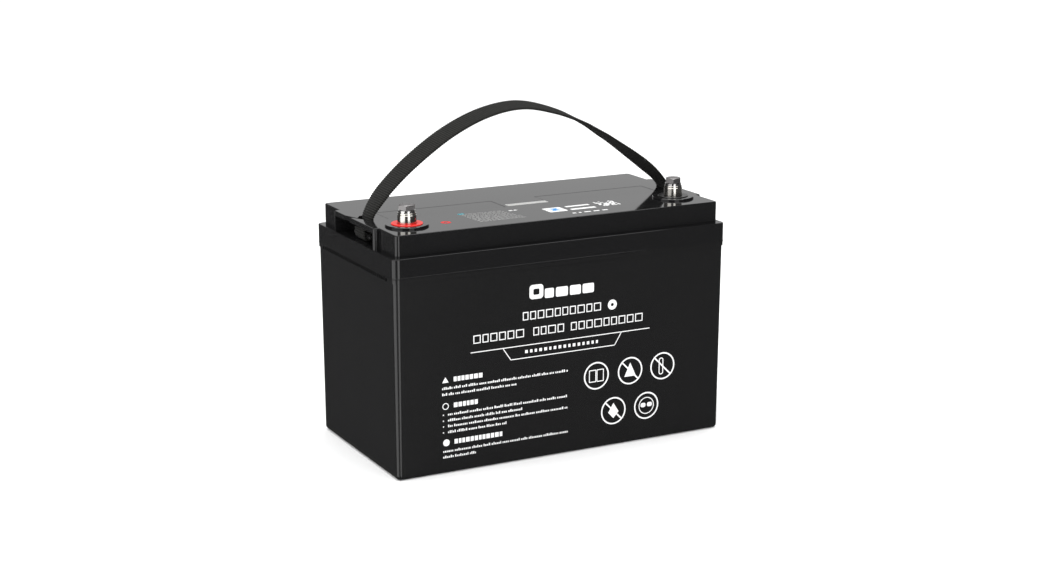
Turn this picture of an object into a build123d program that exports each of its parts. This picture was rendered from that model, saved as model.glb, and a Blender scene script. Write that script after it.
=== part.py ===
"""Deep cycle battery: lithium iron phosphate pack in a plastic case, with a webbing carry strap.

Millimetres. The origin is the centre of the base, +Z is up, +X runs along the long side
towards the negative terminal, and -Y is the printed front face.
"""

import os
from math import radians, tan
from typing import NamedTuple

from build123d import *

# ---------------------------------------------------------------- overall sizes
overall_length = 330.0
overall_width = 172.0
split_height = 178.6  # parting line between case and lid
rim_height = 16.9  # lid skirt, from the parting line up to the ledge
crown_height = 19.0  # lid crown, from the ledge up to the lid top
ledge_ends = 5.3
ledge_sides = 6.3

# ---------------------------------------------------------------- case
flange_height = 4.1
flange_inset = 0.2
flange_step = 0.8
draft_angle = 0.4
case_wall = 3.0
case_floor = 4.0
case_corner = 5.0
foot_round = 4.0
flange_corner = 5.5

# ---------------------------------------------------------------- lid seal
seal_width = 2.0
seal_depth = 2.0
seal_margin = 1.4
seal_clearance = 0.1

# ---------------------------------------------------------------- lid
rim_corner = 6.0
rim_edge_round = 0.8
rim_foot_chamfer = 0.4
crown_corner = 3.5
crown_edge_round = 1.0
lid_side_wall = 2.7
lid_top_wall = 4.2
tongue_depth = 5.0
tongue_clearance = 0.3
rib_thickness = 2.0
rib_depth = 12.0
rib_positions = (-62.0, 0.0, 62.0)

panel_end_gap = 11.0
panel_middle_gap = 22.5
panel_width = 30.0
panel_thickness = 1.7
panel_recess = 1.8
panel_gap = 0.3
panel_corner = 1.0
panel_center_y = 2.0

# ---------------------------------------------------------------- strap pockets in the lid ends
housing_inset = 0.5  # housing face behind the rim face
housing_width = 89.0
housing_corner = 3.0
pocket_wall = 2.8
pocket_reach = 17.0
pocket_floor = 3.0
pocket_back_wall = 2.5
slot_start = 10.9
slot_end = 14.7
slot_side_clearance = 1.6
lobe_start_y = 21.0
lobe_tip = (5.4, 3.4)
finger_tip_y = 7.4
finger_inner = (2.4, 6.0)
seam_width = 0.6
seam_depth = 0.4
seam_height = 11.9

# ---------------------------------------------------------------- carry strap
strap_width = 25.0
strap_end_width = 20.0
strap_thickness = 2.2
strap_apex_height = 305.2
loop_floor_gap = 0.4
anchor_radius = 1.95
anchor_length = 34.0
anchor_clearance = 0.05
loop_tail = 5.8
strap_joint_gap = 0.3
strap_stub = 0.5

# ---------------------------------------------------------------- terminals
terminal_end_inset = 26.2
terminal_side_inset = 34.7
pad_radius = 19.0
pad_height = 1.8
pad_chamfer = 0.5
boss_radius = 17.0
boss_height = 4.3
post_radius = 8.3
post_standout = 8.2
post_clearance = 0.05
post_flange_radius = 11.0
post_flange_height = 2.0
post_stud_radius = 5.0
post_stud_length = 10.5
post_groove_depth = 1.2
post_groove_width = 1.9
ring_outer_radius = 13.8
ring_inner_clearance = 0.3
ring_recess = 0.8
ring_standout = 0.7
ring_side_clearance = 0.15

bolt_radius = 3.98
bolt_length = 16.0
bolt_bore_clearance = 0.06
bolt_bore_depth = 18.0
bolt_head_flats = 13.0
bolt_head_height = 5.0
bolt_face_radius = 5.8
bolt_face_height = 0.6
flat_washer_radius = 8.0
flat_washer_thickness = 1.6
spring_washer_radius = 7.4
spring_washer_thickness = 2.1
washer_bore_clearance = 0.2
spring_washer_gap = 1.3

post_nut_flats = 16.0
post_nut_height = 6.0

# ---------------------------------------------------------------- cell pack
base_pad_thickness = 4.0
base_pad_margin = 1.5
cell_thickness = 50.0
pack_side_clearance = 0.2317
cell_height = 118.0
cell_corner = 3.0
cell_count = 4
spacer_thickness = 1.0
spacer_margin = 2.0
pole_offset = 53.0
pole_radius = 9.0
pole_height = 3.0
pole_stud_radius = 3.0
pole_stud_length = 11.0
vent_radius = 8.0
vent_depth = 0.6
busbar_width = 20.0
busbar_thickness = 2.0
busbar_nut_flats = 10.0
busbar_nut_height = 6.0
stud_hole_clearance = 0.2

end_plate_thickness = 3.0
end_plate_margin = 3.0
end_plate_foot = 2.0
end_plate_top_gap = 6.0
band_thickness = 0.5
band_height = 16.0
band_gap = 0.05
band_levels = (30.0, 90.0)  # above the foot of the cells
foam_gap = 0.3
foam_top_gap = 2.0

# ---------------------------------------------------------------- battery management board
tray_length = 190.0
tray_width = 84.0
tray_thickness = 2.0
tray_height = 15.0
tray_leg = 8.0
tray_leg_inset = 8.0
tray_lip_height = 4.0
tray_lip_thickness = 2.0
board_length = 130.0
board_width = 72.0
board_thickness = 1.6
standoff_height = 6.0
standoff_radius = 3.5
board_hole_inset = 5.0
board_screw_radius = 1.5
board_screw_length = 7.0
board_screw_head_radius = 2.8
board_screw_head_height = 2.0
board_hole_clearance = 0.1
transistor_count = 8
transistor_size = (9.0, 10.0, 4.4)
transistor_pitch = 11.0
transistor_row_y = 14.0
sink_base = 2.5
sink_fin_height = 9.0
sink_fin_thickness = 1.4
sink_fin_count = 9
sink_length = 92.0
sink_width = 44.0
connector_size = (8.0, 22.0, 7.0)
connector_inset = 9.0
connector_y = -12.0
radio_size = (15.0, 22.0, 3.0)
radio_y = 14.0
thermistor_radius = 2.4
thermistor_length = 9.0
thermistor_gap = 6.0

# ---------------------------------------------------------------- leads
lead_radius = 3.6
lug_radius = 9.0
lug_thickness = 2.0
lug_barrel_radius = 5.2
lug_barrel_length = 12.0
lug_barrel_start = 15.5
lug_barrel_drop = 3.0
lug_barrel_lift = 2.2
board_lug_inset = 10.0
board_lug_y = 22.0
board_lug_radius = 7.0
board_stud_radius = 2.0

# ---------------------------------------------------------------- derived heights and lengths
rim_top = split_height + rim_height
lid_top = rim_top + crown_height
lid_ceiling = lid_top - lid_top_wall
pad_top = lid_top + pad_height
post_top = pad_top + post_standout

flange_bottom = split_height - flange_height
flange_length = overall_length - 2 * flange_inset
flange_width = overall_width - 2 * flange_inset
case_length = flange_length - 2 * flange_step
case_width = flange_width - 2 * flange_step
draft_shrink = 2 * flange_bottom * tan(radians(draft_angle))
cavity_length = case_length - draft_shrink - 2 * case_wall
cavity_width = case_width - draft_shrink - 2 * case_wall
cell_width = cavity_width - 2 * (pack_side_clearance + band_thickness + band_gap)

crown_length = overall_length - 2 * ledge_ends
crown_width = overall_width - 2 * ledge_sides
tongue_length = cavity_length - 2 * tongue_clearance
tongue_width = cavity_width - 2 * tongue_clearance
hollow_length = crown_length - 2 * lid_side_wall
hollow_width = crown_width - 2 * lid_side_wall

housing_face = overall_length / 2 - housing_inset
pocket_inner = housing_face - pocket_reach
pocket_half_width = housing_width / 2 - pocket_wall
housing_depth = pocket_reach + pocket_back_wall
slot_half_width = strap_end_width / 2 + slot_side_clearance
strap_x = housing_face - (slot_start + slot_end) / 2
panel_length = pocket_inner - panel_end_gap - panel_middle_gap
panel_center_x = panel_middle_gap + panel_length / 2
terminal_x = crown_length / 2 - terminal_end_inset
terminal_y = terminal_side_inset - crown_width / 2

pack_bottom = case_floor + base_pad_thickness
cell_top = pack_bottom + cell_height
cell_pitch = cell_thickness + spacer_thickness
stack_length = cell_count * cell_thickness + (cell_count - 1) * spacer_thickness
cell_positions = [(index - (cell_count - 1) / 2) * cell_pitch for index in range(cell_count)]
pole_top = cell_top + pole_height
busbar_top = pole_top + busbar_thickness
plate_face = stack_length / 2 + end_plate_thickness
tray_bottom = cell_top + tray_height
tray_top = tray_bottom + tray_thickness
board_bottom = tray_top + standoff_height
board_top = board_bottom + board_thickness


# ---------------------------------------------------------------- helpers
def at(x, y, z):
    """Level plane with its origin at a point."""
    return Plane((x, y, z))


def save(builder, name):
    """Label a finished piece and write it to its own file."""
    builder.part.label = name
    export_step(builder.part, f"parts/{name}.step")


def ring(plane, outer, inner, height):
    """Flat ring extruded up from a plane, inside the current part."""
    with BuildSketch(plane) as outline:
        Circle(outer)
        Circle(inner, mode=Mode.SUBTRACT)
    extrude(outline.sketch, amount=height)


def disc(plane, radius, height, mode=Mode.ADD):
    """Round disc extruded up from a plane, inside the current part."""
    with BuildSketch(plane) as outline:
        Circle(radius)
    extrude(outline.sketch, amount=height, mode=mode)


def slab(plane, length, width, height, corner=0.0, mode=Mode.ADD):
    """Rectangular slab with optional rounded corners, inside the current part."""
    with BuildSketch(plane) as outline:
        if corner > 0:
            RectangleRounded(length, width, corner)
        else:
            Rectangle(length, width)
    extrude(outline.sketch, amount=height, mode=mode)


def hexagon(plane, flats, height, bore=0.0):
    """Hexagonal prism across the given flats, inside the current part."""
    with BuildSketch(plane) as outline:
        RegularPolygon(flats / 2, 6, major_radius=False)
        if bore > 0:
            Circle(bore, mode=Mode.SUBTRACT)
    extrude(outline.sketch, amount=height)


def bend_radii(points):
    """Largest tangent arc at each inner corner of a lead's route."""
    radii = []
    for before, corner, after in zip(points, points[1:], points[2:]):
        run_in = corner - before
        run_out = after - corner
        turn = radians(run_in.get_angle(run_out))
        radii.append(0.45 * min(run_in.length, run_out.length) / tan(turn / 2))
    return radii


def tube(points, radius):
    """Round lead swept along straight runs and tangent arcs, inside the current part."""
    with BuildLine() as route:
        FilletPolyline(*points, radius=bend_radii(points))
    path = route.wires()[0]
    with BuildSketch(Plane(path @ 0, z_dir=path % 0)) as section:
        Circle(radius)
    sweep(section.sketch, path=path)


# ================================================================ case
with BuildPart() as case:
    slab(at(0, 0, flange_bottom), flange_length, flange_width, flange_height, flange_corner)
    chamfer(case.edges().group_by(Axis.Z)[-1], rim_foot_chamfer)
    with BuildSketch(at(0, 0, flange_bottom)):
        RectangleRounded(case_length, case_width, case_corner)
    extrude(amount=-flange_bottom, taper=draft_angle)
    fillet(case.edges().group_by(Axis.Z)[0], foot_round)
    slab(at(0, 0, case_floor), cavity_length, cavity_width, split_height, 3.0, Mode.SUBTRACT)
    with BuildSketch(at(0, 0, split_height)):
        RectangleRounded(flange_length - 2 * seal_margin, flange_width - 2 * seal_margin, 4.2)
        RectangleRounded(
            flange_length - 2 * (seal_margin + seal_width),
            flange_width - 2 * (seal_margin + seal_width),
            3.0,
            mode=Mode.SUBTRACT,
        )
    extrude(amount=-seal_depth, mode=Mode.SUBTRACT)
save(case, "case")

with BuildPart() as lid_seal:
    with BuildSketch(at(0, 0, split_height - seal_depth)):
        outset = seal_margin + seal_clearance
        inset = seal_margin + seal_width - seal_clearance
        RectangleRounded(flange_length - 2 * outset, flange_width - 2 * outset, 4.1)
        RectangleRounded(flange_length - 2 * inset, flange_width - 2 * inset, 3.1, mode=Mode.SUBTRACT)
    extrude(amount=seal_depth)
save(lid_seal, "lid_seal")


# ================================================================ lid
def slot_outline(side):
    """Strap slot with its slanted entry slit, as seen from above, at one end of the lid."""
    points = [
        (-2.0, lobe_start_y),
        (0.0, lobe_start_y),
        lobe_tip,
        (slot_start, slot_half_width),
        (slot_end, slot_half_width),
        (slot_end, -slot_half_width),
        (slot_start, -slot_half_width),
        finger_inner,
        (0.0, finger_tip_y),
        (-2.0, finger_tip_y),
    ]
    return [(side * (housing_face - depth), y) for depth, y in points]


with BuildPart() as lid:
    slab(at(0, 0, split_height), overall_length, overall_width, rim_height, rim_corner)
    fillet(lid.edges().group_by(Axis.Z)[-1], rim_edge_round)
    chamfer(lid.edges().group_by(Axis.Z)[0], rim_foot_chamfer)
    slab(at(0, 0, rim_top - 2), crown_length, crown_width, crown_height + 2, crown_corner)
    for side in (-1, 1):
        housing_x = side * (housing_face - housing_depth / 2)
        slab(at(housing_x, 0, rim_top - 2), housing_depth, housing_width, crown_height + 2, housing_corner)
    fillet(lid.edges().group_by(Axis.Z)[-1], crown_edge_round)
    slab(at(0, 0, split_height - tongue_depth), tongue_length, tongue_width, tongue_depth, 2.7)
    slab(
        at(0, 0, split_height - tongue_depth),
        hollow_length,
        hollow_width,
        lid_ceiling - split_height + tongue_depth,
        2.0,
        Mode.SUBTRACT,
    )
    for rib_x in rib_positions:
        slab(at(rib_x, 0, lid_ceiling - rib_depth), rib_thickness, hollow_width, rib_depth)
    for side in (-1, 1):
        back = pocket_inner - pocket_back_wall
        block = crown_length / 2 - back
        slab(
            at(side * (back + block / 2), 0, rim_top - pocket_floor),
            block,
            housing_width,
            lid_ceiling - rim_top + pocket_floor,
        )
        slab(
            at(side * (pocket_inner + pocket_reach), 0, rim_top),
            2 * pocket_reach,
            2 * pocket_half_width,
            lid_ceiling - rim_top,
            mode=Mode.SUBTRACT,
        )
        with BuildSketch(at(0, 0, lid_ceiling)):
            with BuildLine():
                Polyline(*slot_outline(side), close=True)
            make_face()
        extrude(amount=2 * lid_top_wall, mode=Mode.SUBTRACT)
        for seam_side in (-1, 1):
            slab(
                at(side * overall_length / 2, seam_side * housing_width / 2, rim_top - seam_height),
                2 * seam_depth,
                seam_width,
                seam_height + 1,
                mode=Mode.SUBTRACT,
            )
        slab(
            at(side * panel_center_x, panel_center_y, lid_top - panel_recess),
            panel_length + 2 * panel_gap,
            panel_width + 2 * panel_gap,
            crown_height,
            panel_corner,
            Mode.SUBTRACT,
        )
    for side in (-1, 1):
        disc(at(side * terminal_x, terminal_y, lid_top), pad_radius, pad_height)
        disc(at(side * terminal_x, terminal_y, lid_ceiling - boss_height), boss_radius, boss_height)
    chamfer(lid.edges().group_by(Axis.Z)[-1], pad_chamfer)
    for side in (-1, 1):
        recess = at(side * terminal_x, terminal_y, pad_top - ring_recess)
        disc(recess, ring_outer_radius + ring_side_clearance, pad_height, Mode.SUBTRACT)
        disc(recess, post_radius + post_clearance, -(lid_top_wall + boss_height + pad_height), Mode.SUBTRACT)
save(lid, "lid")

for name, side in (("left_cover_panel", -1), ("right_cover_panel", 1)):
    with BuildPart() as panel:
        slab(
            at(side * panel_center_x, panel_center_y, lid_top - panel_recess),
            panel_length,
            panel_width,
            panel_thickness,
            panel_corner,
        )
        chamfer(panel.edges().group_by(Axis.Z)[-1], 0.2)
    save(panel, name)

# ================================================================ terminals
seat_under = lid_ceiling - boss_height
stack_bottom = post_top + flat_washer_thickness
head_bottom = stack_bottom + spring_washer_thickness
groove_z = lid_ceiling - 0.5

for name, side in (("positive", -1), ("negative", 1)):
    axis_x = side * terminal_x

    with BuildPart() as post:
        disc(at(axis_x, terminal_y, seat_under), post_radius, post_top - seat_under)
        disc(at(axis_x, terminal_y, seat_under), post_flange_radius, -post_flange_height)
        stud_top = seat_under - post_flange_height
        disc(at(axis_x, terminal_y, stud_top), post_stud_radius, -post_stud_length)
        chamfer(post.edges().group_by(Axis.Z)[0], 0.6)
        chamfer(post.edges().group_by(Axis.Z)[-1], 0.4)
        disc(at(axis_x, terminal_y, post_top), bolt_radius + bolt_bore_clearance, -bolt_bore_depth, Mode.SUBTRACT)
        with BuildSketch(at(axis_x, terminal_y, groove_z)):
            Circle(post_radius + 1)
            Circle(post_radius - post_groove_depth, mode=Mode.SUBTRACT)
        extrude(amount=-post_groove_width, mode=Mode.SUBTRACT)
    save(post, f"{name}_post")

    with BuildPart() as color_ring:
        inner = post_radius + ring_inner_clearance
        ring(at(axis_x, terminal_y, pad_top - ring_recess), ring_outer_radius, inner, ring_recess + ring_standout)
        chamfer(color_ring.edges().group_by(Axis.Z)[-1], 0.3)
    save(color_ring, f"{name}_ring")

    with BuildPart() as flat_washer:
        hole = bolt_radius + washer_bore_clearance
        ring(at(axis_x, terminal_y, post_top), flat_washer_radius, hole, flat_washer_thickness)
        chamfer(flat_washer.edges().filter_by(GeomType.CIRCLE).sort_by(SortBy.RADIUS)[-2:], 0.25)
    save(flat_washer, f"{name}_flat_washer")

    with BuildPart() as spring_washer:
        ring(at(axis_x, terminal_y, stack_bottom), spring_washer_radius, hole, spring_washer_thickness)
        middle = stack_bottom + spring_washer_thickness / 2
        cut_plane = Plane((axis_x, terminal_y, middle), z_dir=(0.5, 0, 1))
        with BuildSketch(cut_plane.rotated((0, 0, -35))):
            with Locations((0, -spring_washer_radius)):
                Rectangle(spring_washer_gap, 2 * spring_washer_radius - hole)
        extrude(amount=2 * spring_washer_thickness, both=True, mode=Mode.SUBTRACT)
    save(spring_washer, f"{name}_spring_washer")

    with BuildPart() as bolt:
        hexagon(at(axis_x, terminal_y, head_bottom), bolt_head_flats, bolt_head_height)
        with BuildSketch(Plane((axis_x, terminal_y, head_bottom), x_dir=(1, 0, 0), z_dir=(0, -1, 0))):
            corner = bolt_head_flats / 2 / 0.866
            with BuildLine():
                Polyline(
                    (0, 0),
                    (bolt_face_radius, 0),
                    (bolt_face_radius, bolt_face_height),
                    (corner, bolt_face_height),
                    (corner, bolt_head_height - 0.9),
                    (bolt_head_flats / 2 - 0.4, bolt_head_height),
                    (0, bolt_head_height),
                    close=True,
                )
            make_face()
        revolve(axis=Axis((axis_x, terminal_y, 0), (0, 0, 1)), mode=Mode.INTERSECT)
        disc(at(axis_x, terminal_y, head_bottom), bolt_radius, -bolt_length)
        chamfer(bolt.edges().group_by(Axis.Z)[0], 0.7)
    save(bolt, f"{name}_bolt")

with BuildPart() as post_o_rings:
    for side in (-1, 1):
        plane = at(side * terminal_x, terminal_y, groove_z - post_groove_width + 0.05)
        ring(plane, post_radius + post_clearance / 2, post_radius - post_groove_depth + 0.02, post_groove_width - 0.1)
save(post_o_rings, "post_o_rings")

lug_top = seat_under - post_flange_height
nut_top = lug_top - lug_thickness
with BuildPart() as post_nuts:
    for side in (-1, 1):
        plane = at(side * terminal_x, terminal_y, nut_top - post_nut_height)
        hexagon(plane, post_nut_flats, post_nut_height, post_stud_radius + 0.02)
save(post_nuts, "post_nuts")

# ================================================================ carry strap
loop_bend = anchor_radius + anchor_clearance + strap_thickness / 2
anchor_z = rim_top + loop_floor_gap + strap_thickness + anchor_clearance + anchor_radius
stub_top = lid_top + strap_stub
arch_foot = stub_top + strap_joint_gap
lean_pivot_z = arch_foot + strap_width / 2


def strap_profile():
    """Centre line of the strap from the left slot over the hand space to the right slot."""
    rise = strap_apex_height - arch_foot
    shares = [
        (-1.0, 0.0),
        (-0.96, 0.14),
        (-0.87, 0.305),
        (-0.70, 0.545),
        (-0.48, 0.785),
        (-0.25, 0.945),
        (-0.02, 1.0),
        (0.20, 0.925),
        (0.40, 0.785),
        (0.60, 0.58),
        (0.78, 0.37),
        (0.90, 0.215),
        (0.97, 0.10),
        (1.0, 0.0),
    ]
    return [(across * strap_x, arch_foot + up * rise) for across, up in shares]


with BuildPart() as carry_strap:
    with BuildSketch(Plane.XZ):
        with BuildLine():
            Spline(*strap_profile())
        trace(line_width=strap_thickness)
    extrude(amount=strap_width / 2, both=True)
    with BuildSketch(Plane.YZ):
        with Locations((0, lean_pivot_z)):
            Circle(strap_width / 2)
        with Locations((0, lean_pivot_z + strap_apex_height / 2)):
            Rectangle(strap_width, strap_apex_height)
    extrude(amount=overall_length, both=True, mode=Mode.INTERSECT)
save(carry_strap, "carry_strap")

for name, side in (("left", -1), ("right", 1)):
    inner_ply = side * strap_x
    outer_ply = side * (strap_x + 2 * loop_bend)
    anchor_x = side * (strap_x + loop_bend)

    with BuildPart() as strap_loop:
        with BuildSketch(Plane.XZ):
            with BuildLine():
                Line((inner_ply, stub_top), (inner_ply, anchor_z))
                ThreePointArc((inner_ply, anchor_z), (anchor_x, anchor_z - loop_bend), (outer_ply, anchor_z))
                Line((outer_ply, anchor_z), (outer_ply, anchor_z + loop_tail))
            trace(line_width=strap_thickness)
        extrude(amount=strap_end_width / 2, both=True)
    save(strap_loop, f"strap_loop_{name}")

    with BuildPart() as anchor_bar:
        with BuildSketch(Plane.XZ):
            with Locations((anchor_x, anchor_z)):
                Circle(anchor_radius)
        extrude(amount=anchor_length / 2, both=True)
        chamfer(anchor_bar.edges(), 0.4)
    save(anchor_bar, f"strap_anchor_{name}")

# ================================================================ cell pack
with BuildPart() as base_pad:
    slab(
        at(0, 0, case_floor),
        cavity_length - 2 * base_pad_margin,
        cavity_width - 2 * base_pad_margin,
        base_pad_thickness,
        3.0,
    )
save(base_pad, "base_pad")

for index, cell_x in enumerate(cell_positions):
    with BuildPart() as cell:
        slab(at(cell_x, 0, pack_bottom), cell_thickness, cell_width, cell_height, cell_corner)
        disc(at(cell_x, 0, cell_top), vent_radius, -vent_depth, Mode.SUBTRACT)
    save(cell, f"cell_{index + 1}")

with BuildPart() as cell_spacers:
    for left, right in zip(cell_positions, cell_positions[1:]):
        slab(
            at((left + right) / 2, 0, pack_bottom),
            spacer_thickness,
            cell_width - 2 * spacer_margin,
            cell_height - spacer_margin,
        )
save(cell_spacers, "cell_spacers")

pole_points = [(cell_x, row * pole_offset) for cell_x in cell_positions for row in (-1, 1)]

with BuildPart() as cell_poles:
    for pole_x, pole_y in pole_points:
        disc(at(pole_x, pole_y, cell_top), pole_radius, pole_height)
        disc(at(pole_x, pole_y, pole_top), pole_stud_radius, pole_stud_length)
save(cell_poles, "cell_poles")

with BuildPart() as cell_busbars:
    for index, (left, right) in enumerate(zip(cell_positions, cell_positions[1:])):
        row_y = pole_offset if index % 2 == 0 else -pole_offset
        with BuildSketch(at((left + right) / 2, row_y, pole_top)):
            SlotOverall(cell_pitch + busbar_width, busbar_width)
            with Locations((-cell_pitch / 2, 0), (cell_pitch / 2, 0)):
                Circle(pole_stud_radius + stud_hole_clearance, mode=Mode.SUBTRACT)
        extrude(amount=busbar_thickness)
save(cell_busbars, "cell_busbars")

with BuildPart() as busbar_nuts:
    for pole_x, pole_y in pole_points:
        hexagon(at(pole_x, pole_y, busbar_top), busbar_nut_flats, busbar_nut_height, pole_stud_radius + 0.05)
save(busbar_nuts, "busbar_nuts")

plate_width = cell_width - 2 * end_plate_margin
plate_height = cell_height - end_plate_foot - end_plate_top_gap
for name, side in (("left", -1), ("right", 1)):
    with BuildPart() as end_plate:
        slab(
            at(side * (plate_face - end_plate_thickness / 2), 0, pack_bottom + end_plate_foot),
            end_plate_thickness,
            plate_width,
            plate_height,
        )
    save(end_plate, f"end_plate_{name}")

    with BuildPart() as end_foam:
        start = plate_face + band_gap + band_thickness + foam_gap
        length = cavity_length / 2 - foam_gap - start
        slab(
            at(side * (start + length / 2), 0, pack_bottom),
            length,
            cavity_width - 2 * base_pad_margin,
            cell_height - foam_top_gap,
            3.0,
        )
    save(end_foam, f"end_foam_{name}")

with BuildPart() as pack_bands:
    band_length = 2 * (plate_face + band_gap)
    band_width = cell_width + 2 * band_gap
    for level in band_levels:
        with BuildSketch(at(0, 0, pack_bottom + level - band_height / 2)):
            RectangleRounded(band_length + 2 * band_thickness, band_width + 2 * band_thickness, 1.5)
            RectangleRounded(band_length, band_width, 1.0, mode=Mode.SUBTRACT)
        extrude(amount=band_height)
save(pack_bands, "pack_bands")

# ================================================================ battery management board
leg_x = tray_length / 2 - tray_leg_inset
leg_y = tray_width / 2 - tray_leg_inset
hole_x = board_length / 2 - board_hole_inset
hole_y = board_width / 2 - board_hole_inset
board_holes = [(x, y) for x in (-hole_x, hole_x) for y in (-hole_y, hole_y)]

with BuildPart() as bms_tray:
    slab(at(0, 0, tray_bottom), tray_length, tray_width, tray_thickness, 3.0)
    for x in (-leg_x, leg_x):
        for y in (-leg_y, leg_y):
            slab(at(x, y, cell_top), tray_leg, tray_leg, tray_height, 1.0)
    for y in (-1, 1):
        lip_y = y * (tray_width - tray_lip_thickness) / 2
        slab(at(0, lip_y, tray_top), tray_length - 8, tray_lip_thickness, tray_lip_height)
    for x, y in board_holes:
        disc(at(x, y, tray_top), standoff_radius, standoff_height)
        disc(at(x, y, board_bottom), board_screw_radius, -standoff_height, Mode.SUBTRACT)
save(bms_tray, "bms_tray")

with BuildPart() as bms_board:
    slab(at(0, 0, board_bottom), board_length, board_width, board_thickness, 2.0)
    for x, y in board_holes:
        disc(at(x, y, board_bottom), board_screw_radius + board_hole_clearance, 9, Mode.SUBTRACT)
save(bms_board, "bms_board")

with BuildPart() as bms_screws:
    shank = board_thickness + board_screw_length - 2
    for x, y in board_holes:
        disc(at(x, y, board_top), board_screw_head_radius, board_screw_head_height)
        disc(at(x, y, board_top), board_screw_radius - 0.02, -shank)
save(bms_screws, "bms_screws")

part_length, part_width, part_height = transistor_size
with BuildPart() as bms_transistors:
    first = -(transistor_count - 1) * transistor_pitch / 2
    for row in (-1, 1):
        for index in range(transistor_count):
            x = first + index * transistor_pitch
            slab(at(x, row * transistor_row_y, board_top), part_length, part_width, part_height)
save(bms_transistors, "bms_transistors")

with BuildPart() as bms_heat_sink:
    sink_bottom = board_top + part_height
    slab(at(0, 0, sink_bottom), sink_length, sink_width, sink_base)
    fin_pitch = (sink_width - sink_fin_thickness) / (sink_fin_count - 1)
    for index in range(sink_fin_count):
        fin_y = index * fin_pitch - (sink_width - sink_fin_thickness) / 2
        slab(at(0, fin_y, sink_bottom + sink_base), sink_length, sink_fin_thickness, sink_fin_height)
save(bms_heat_sink, "bms_heat_sink")

with BuildPart() as bms_connector:
    slab(at(connector_inset - board_length / 2, connector_y, board_top), *connector_size)
save(bms_connector, "bms_connector")

with BuildPart() as radio_module:
    slab(at(connector_inset - board_length / 2, radio_y, board_top), *radio_size)
save(radio_module, "radio_module")

thermistor_y = -(pole_offset + busbar_width / 2 + thermistor_gap)
with BuildPart() as thermistor:
    seat = Plane((cell_positions[-2], thermistor_y, cell_top + thermistor_radius), z_dir=(1, 0, 0))
    with BuildSketch(seat):
        Circle(thermistor_radius)
    extrude(amount=thermistor_length / 2, both=True)
    fillet(thermistor.edges(), 1.0)
save(thermistor, "thermistor")

# ================================================================ leads
board_lug_x = board_length / 2 - board_lug_inset


class Lug(NamedTuple):
    """Crimped lug: its stud, the level heading of its plate, and how its barrel stands."""

    seat: tuple
    heading: tuple
    plate_radius: float
    stud_radius: float
    barrel_rise: float = 0.0
    upright: bool = False

    def root(self):
        """Centre of the barrel's closed end."""
        reach = Vector(*self.heading) * lug_barrel_start
        return Vector(*self.seat) + reach + Vector(0, 0, lug_thickness / 2 + self.barrel_rise)

    def axis(self):
        """Direction in which the barrel opens."""
        return Vector(0, 0, 1) if self.upright else Vector(*self.heading)

    def mouth(self):
        """Centre of the barrel's open end, where the cable enters."""
        return self.root() + self.axis() * lug_barrel_length

    def beyond(self, along, across=0.0, up=0.0):
        """Point past the mouth: along the heading, to its left, and up."""
        ahead = Vector(*self.heading)
        left = Vector(-ahead.Y, ahead.X, 0)
        return self.mouth() + ahead * along + left * across + Vector(0, 0, up)


positive_post_lug = Lug(
    (-terminal_x, terminal_y, nut_top), (1, 0, 0), lug_radius, post_stud_radius, -lug_barrel_drop
)
negative_post_lug = Lug(
    (terminal_x, terminal_y, nut_top), (0, 1, 0), lug_radius, post_stud_radius, -lug_barrel_drop
)
first_cell_lug = Lug(
    (cell_positions[0], -pole_offset, pole_top), (1, 0, 0), lug_radius, pole_stud_radius, upright=True
)
last_cell_lug = Lug(
    (cell_positions[-1], -pole_offset, pole_top), (1, 0, 0), lug_radius, pole_stud_radius, lug_barrel_lift
)
board_in_lug = Lug((board_lug_x, -board_lug_y, board_top), (1, 0, 0), board_lug_radius, board_stud_radius)
board_out_lug = Lug((board_lug_x, board_lug_y, board_top), (1, 0, 0), board_lug_radius, board_stud_radius)
lugs = (
    positive_post_lug,
    negative_post_lug,
    first_cell_lug,
    last_cell_lug,
    board_in_lug,
    board_out_lug,
)

with BuildPart() as lead_lugs:
    for lug in lugs:
        plate_length = lug_barrel_start + 1
        with BuildSketch(Plane(lug.seat, x_dir=lug.heading, z_dir=(0, 0, 1))):
            Circle(lug.plate_radius)
            with Locations((plate_length / 2, 0)):
                Rectangle(plate_length, 1.5 * lug_barrel_radius)
            Circle(lug.stud_radius + stud_hole_clearance, mode=Mode.SUBTRACT)
        extrude(amount=lug_thickness)
        with BuildSketch(Plane(lug.root(), z_dir=lug.axis())):
            Circle(lug_barrel_radius)
        extrude(amount=lug_barrel_length)
save(lead_lugs, "lead_lugs")

routes = {
    "positive_lead": [
        positive_post_lug.mouth(),
        positive_post_lug.beyond(22),
        positive_post_lug.beyond(38, -4, -11),
        first_cell_lug.beyond(0, 0, 26),
        first_cell_lug.mouth(),
    ],
    "battery_lead": [
        last_cell_lug.mouth(),
        last_cell_lug.beyond(15),
        last_cell_lug.beyond(26, 9, 6),
        board_in_lug.beyond(47, -9, -6),
        board_in_lug.beyond(36),
        board_in_lug.mouth(),
    ],
    "negative_lead": [
        board_out_lug.mouth(),
        board_out_lug.beyond(22),
        board_out_lug.beyond(43, 3, 12),
        negative_post_lug.beyond(35, 0, -18),
        negative_post_lug.beyond(21),
        negative_post_lug.mouth(),
    ],
}
for name, points in routes.items():
    with BuildPart() as lead:
        tube(points, lead_radius)
    save(lead, name)
    print(name, "bend radii", " ".join(f"{radius:.1f}" for radius in bend_radii(points)))
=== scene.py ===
"""Look of a lithium deep cycle battery: black box case, glossy lid, bolted posts, webbing carry strap."""

from __future__ import annotations

import logging
import math
import random
from dataclasses import dataclass, field
from enum import Enum

import bpy
from mathutils import Matrix, Vector


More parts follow.
